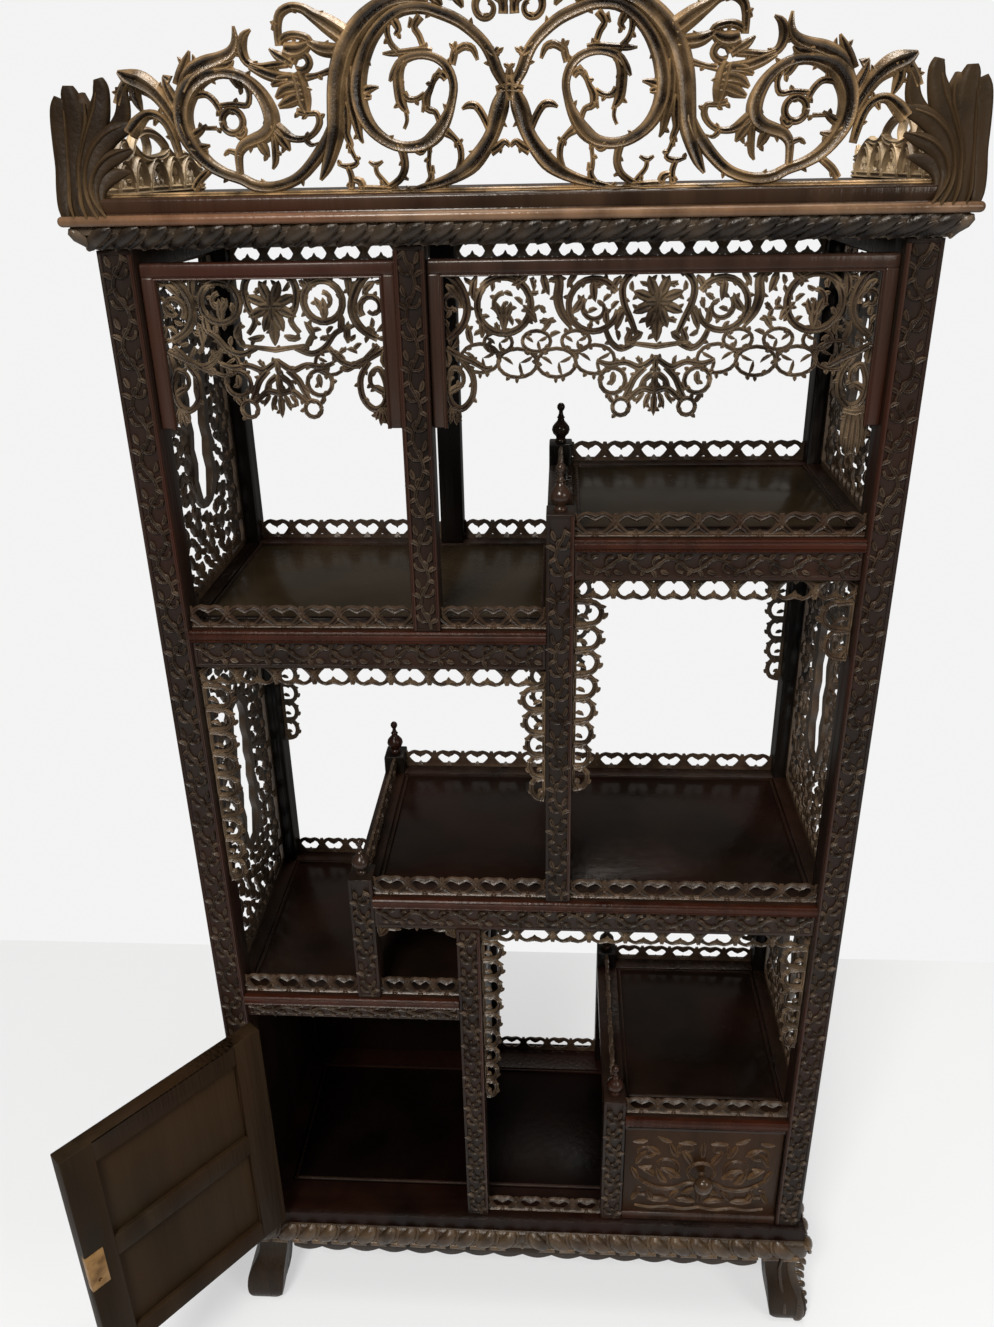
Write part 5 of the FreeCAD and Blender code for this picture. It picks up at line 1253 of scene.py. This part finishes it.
# Its ridges take a light golden tone: rubbed wear and painted highlight
crest_wood = carved("golden_crest_carving", (0.0060, 0.0034, 0.0014), (0.37, 0.240, 0.120), 0.9, 0.20, 34.0, 0.12,
              (0.522, 0.60), 0.34)
leaf_wood = carved("crest_end_leaf", (0.0085, 0.0050, 0.0024), (0.080, 0.050, 0.024), 0.9, 0.4, 16.0, 0.1,
                   (0.525, 0.62), 0.08)
crest_low, crest_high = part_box("crest_front")
crest_at = (middle_x, (crest_low.y + crest_high.y) / 2, crest_low.z)
stems = [flowing(stroke, 3) for stroke in bolder(crest_stems, 1.06)]
leaves = [flowing(stroke, 3) for stroke in bolder(crest_leaves, 1.15)]
leaves += barbs(stems, 34, 3.6) + barbs(leaves, 20, 3.0)
foot_rail = [[(-382, 1.6, 2.2), (382, 1.6, 2.2)]]
crest = joined([carve(stems + mirrored(stems), "stem", crest_at),
                carve(leaves + mirrored(leaves) + foot_rail, "leaf", crest_at)])
settle(crest, "crest", crest_wood, "cabinet", "carved_rosewood", "crest_front")
gouges["flute"] = ((-1, -0.6), (-1, -0.06), (-0.8, 0.16), (-0.35, 0.30), (0.15, 0.24), (0.6, 0.30),
                   (0.86, 0.16), (1, -0.06), (1, -0.6))
crest_flutes = [flowing(stroke, 3) for stroke in crest_flutes]
crest_veins = [flowing(stroke, 3) for stroke in crest_veins]
ends = joined([carve(crest_flutes + mirrored(crest_flutes), "flute", crest_at),
               carve(crest_veins + mirrored(crest_veins), "vine", crest_at)])
settle(ends, "crest_end_leaves", leaf_wood, "cabinet", "carved_rosewood")

# Crest returns: two pierced boards behind the crest's ends that stand on the cornice along its sides,
# sawn and carved into loops and arches, light golden brown on both faces: painted light, lighter than the
# other carving.
lit_return_wood = carved("lit_golden_return_carving", (0.085, 0.056, 0.029), (0.50, 0.38, 0.23), 0.9, 0.3, 22.0,
                     0.1, (0.48, 0.58))
return_strokes = [
    [(2, 4, 4.6), (332, 4, 4.6)],
    [(3, 3, 4), (4, 30, 4.4), (10, 56, 4.4), (22, 68, 4.4), (38, 70, 4.2), (50, 60, 4), (50, 46, 3.6),
     (40, 41, 3), (32, 47, 2)],
    [(8, 44, 3), (22, 30, 3.8), (44, 34, 4), (64, 34, 4), (84, 34, 4), (102, 40, 4), (112, 50, 4.4),
     (128, 57, 4.6), (152, 60, 4.8), (180, 58, 4.6), (204, 51, 4.2), (214, 44, 4), (204, 38, 4),
     (182, 35, 4), (156, 34, 4), (130, 37, 4), (112, 46, 3.4)],
    [(150, 36, 3.4), (156, 46, 4), (150, 58, 3.4)],
    [(214, 44, 4), (232, 37, 4), (254, 37, 4), (272, 39, 4.2), (292, 33, 4.2), (310, 24, 4.2),
     (331, 21, 4)], [(60, 36, 3), (74, 48, 3.4), (88, 50, 3), (96, 42, 2.4)]]
for start, width, top in ((6, 44, 30), (50, 46, 30), (96, 44, 32), (140, 60, 32), (200, 50, 34),
                          (250, 62, 34)):
    return_strokes.append([(start, 4, 5.2), (start + 0.16 * width, top - 10, 5.4),
                           (start + 0.5 * width, top, 5), (start + 0.84 * width, top - 10, 5.4),
                           (start + width, 4, 5.2)])
return_strokes = [flowing(stroke, 3) for stroke in return_strokes]
return_strokes += foliage(return_strokes, lattice(4, 330, 6, 34, 7.0), 6.0, 3.0)
return_length = 334
return_back = [[(return_length - x, up, half) for x, up, half in stroke] for stroke in return_strokes]
for node in ("crest_left_return", "crest_right_return"):
    low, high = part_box(node)
    x = (low.x + high.x) / 2
    pieces = [carve(return_strokes, "leaf", (x + 0.0015, low.y, low.z), 90.0),
              carve(return_back, "leaf", (x - 0.0015, high.y, low.z), -90.0)]
    settle(joined(pieces), node + "_carving", lit_return_wood, "cabinet", "carved_rosewood", node)

# Door: a framed door of two stiles and three rails round two floating panels, hung on two small
# brass butt hinges. Its inner face shows in the photo, plainer and browner than the outside.
door_wood = wood("door_frame_rosewood", (0.0125, 0.0078, 0.0040), (0.0240, 0.0150, 0.0078), 0.48, 30.0,
                 0.0004, (0.022, 0.0100, 0.0042), 0.04)
door_panel_wood = wood("door_panel_rosewood", (0.0160, 0.0098, 0.0048), (0.0300, 0.0185, 0.0092), 0.5, 12.0,
                       0.0005, (0.028, 0.0140, 0.0060), 0.04)
eased("door_frame", door_wood, "door", "dark_rosewood", 0.0014)
eased("door_panels", door_panel_wood, "door", "panel_rosewood", 0.0008)


# Worn metal, dull in the hollows
def metal(name, tone, dull, gloss):
    finish = Finish(name, Metallic=1.0)
    worn = finish.noise(60.0, 4.0)
    finish.feed("Base Color", finish.mix(worn.span(0.4, 0.68), tone, dull))
    finish.feed("Roughness", worn.span(0.3, 0.7, gloss, gloss + 0.25))
    return finish


brass = metal("aged_brass", (0.30, 0.175, 0.070), (0.17, 0.095, 0.040), 0.42)
eased("hinge_fixed_leaves", brass, "cabinet", "brass", 0.0003)
eased("hinge_moving_leaves", brass, "door", "brass", 0.0003)
eased("door_lock", brass, "door", "brass", 0.0005)
eased("lock_bolt", brass, "bolt", "brass", 0.0004)
eased("door_pull", finial_wood, "door", "dark_rosewood", 0.0004)

# Drawer: the front is carved in low relief with scrolling leaves round the knob, above a plain
# reddish blade. The box behind it is plain wood and runs on two fixed runners.
drawer_wood = wood("drawer_ground_rosewood", (0.0140, 0.0065, 0.0026), (0.0280, 0.0128, 0.0052), 0.3, 26.0,
                   0.0003, (0.030, 0.0120, 0.0050), 0.10)
drawer_relief = carved("drawer_front_carving", (0.0190, 0.0100, 0.0048), (0.110, 0.064, 0.030), 0.8, 0.26,
                       40.0, 0.2, (0.51, 0.61), 0.24)
drawer_low, drawer_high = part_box("drawer_front")
ground_depth = 0.0042
ground = bar((drawer_low.x, drawer_low.y + ground_depth, drawer_low.z),
             (drawer_high.x, drawer_high.y, drawer_high.z), 0.0012, 2)
settle(ground, "drawer_front_ground", drawer_wood, "drawer", "carved_rosewood", "drawer_front")
# One half of the carving, from the knob's line outwards: the other half mirrors it
half_front = [
    flowing([(0, 62, 3.4), (18, 60, 3.6), (36, 50, 3.8), (56, 48, 3.8), (76, 56, 3.4), (92, 70, 3.0)]),
    coil(52, 92, 22, 5, 250, -130, 4.2, 2.0, 18), coil(84, 44, 16, 4, 100, 460, 3.8, 1.8, 15),
    coil(24, 34, 15, 4, 60, -280, 3.6, 1.8, 14), coil(80, 122, 14, 4, 200, 560, 3.4, 1.8, 14),
    coil(22, 128, 14, 4, -40, 320, 3.4, 1.8, 14), leaf(30, 70, 60, 34, 7.0, -40),
    leaf(48, 60, 30, 32, 6.4, 50), leaf(66, 72, 70, 30, 6.0, -50), leaf(14, 96, 80, 32, 6.6, -30),
    leaf(34, 112, 40, 30, 6.0, 40), leaf(60, 116, 60, 26, 5.6, -40), leaf(92, 96, 100, 30, 5.6, 30),
    leaf(90, 66, 80, 26, 5.4, -20), leaf(44, 24, 20, 32, 6.0, -30), leaf(64, 22, 40, 28, 5.6, 40),
    leaf(6, 22, 30, 28, 5.6, -30), leaf(96, 22, 100, 24, 5.0, 30), leaf(8, 52, -60, 24, 5.4, 40),
    leaf(30, 44, -30, 24, 5.2, -40), leaf(10, 138, 20, 26, 4.6, -30), leaf(44, 140, 10, 24, 4.4, 30),
    leaf(78, 142, -20, 22, 4.4, 20), leaf(70, 92, -40, 20, 4.6, 50),
    flowing([(0, 12, 3.0), (22, 7, 3.2), (46, 11, 3.0), (70, 8, 2.8), (92, 12, 2.4)])]
relief_strokes = half_front + mirrored(half_front)
relief_strokes += [leaf(0, 112, 90, 30, 7.0, 0), leaf(0, 52, -90, 30, 7.0, 0),
                   coil(0, 82, 19, 19, 0, 360, 3.2, 3.2, 20)]
relief_at = ((drawer_low.x + drawer_high.x) / 2, drawer_low.y + 0.0046, drawer_low.z)
settle(carve(relief_strokes, "leaf", relief_at), "drawer_front_carving", drawer_relief, "drawer",
       "carved_rosewood")
# The drawer box takes the same near-black stain: painted shade
eased("drawer_box", shaded_inside_wood, "drawer", "panel_rosewood", 0.0008)
eased("drawer_runners", frame_wood, "cabinet", "dark_rosewood", 0.0015)
knob_wood = wood("knob_rosewood", (0.020, 0.0110, 0.0058), (0.042, 0.0240, 0.0130), 0.2, 30.0, 0.0002)
eased("drawer_knob", knob_wood, "drawer", "carved_rosewood", 0.0004)
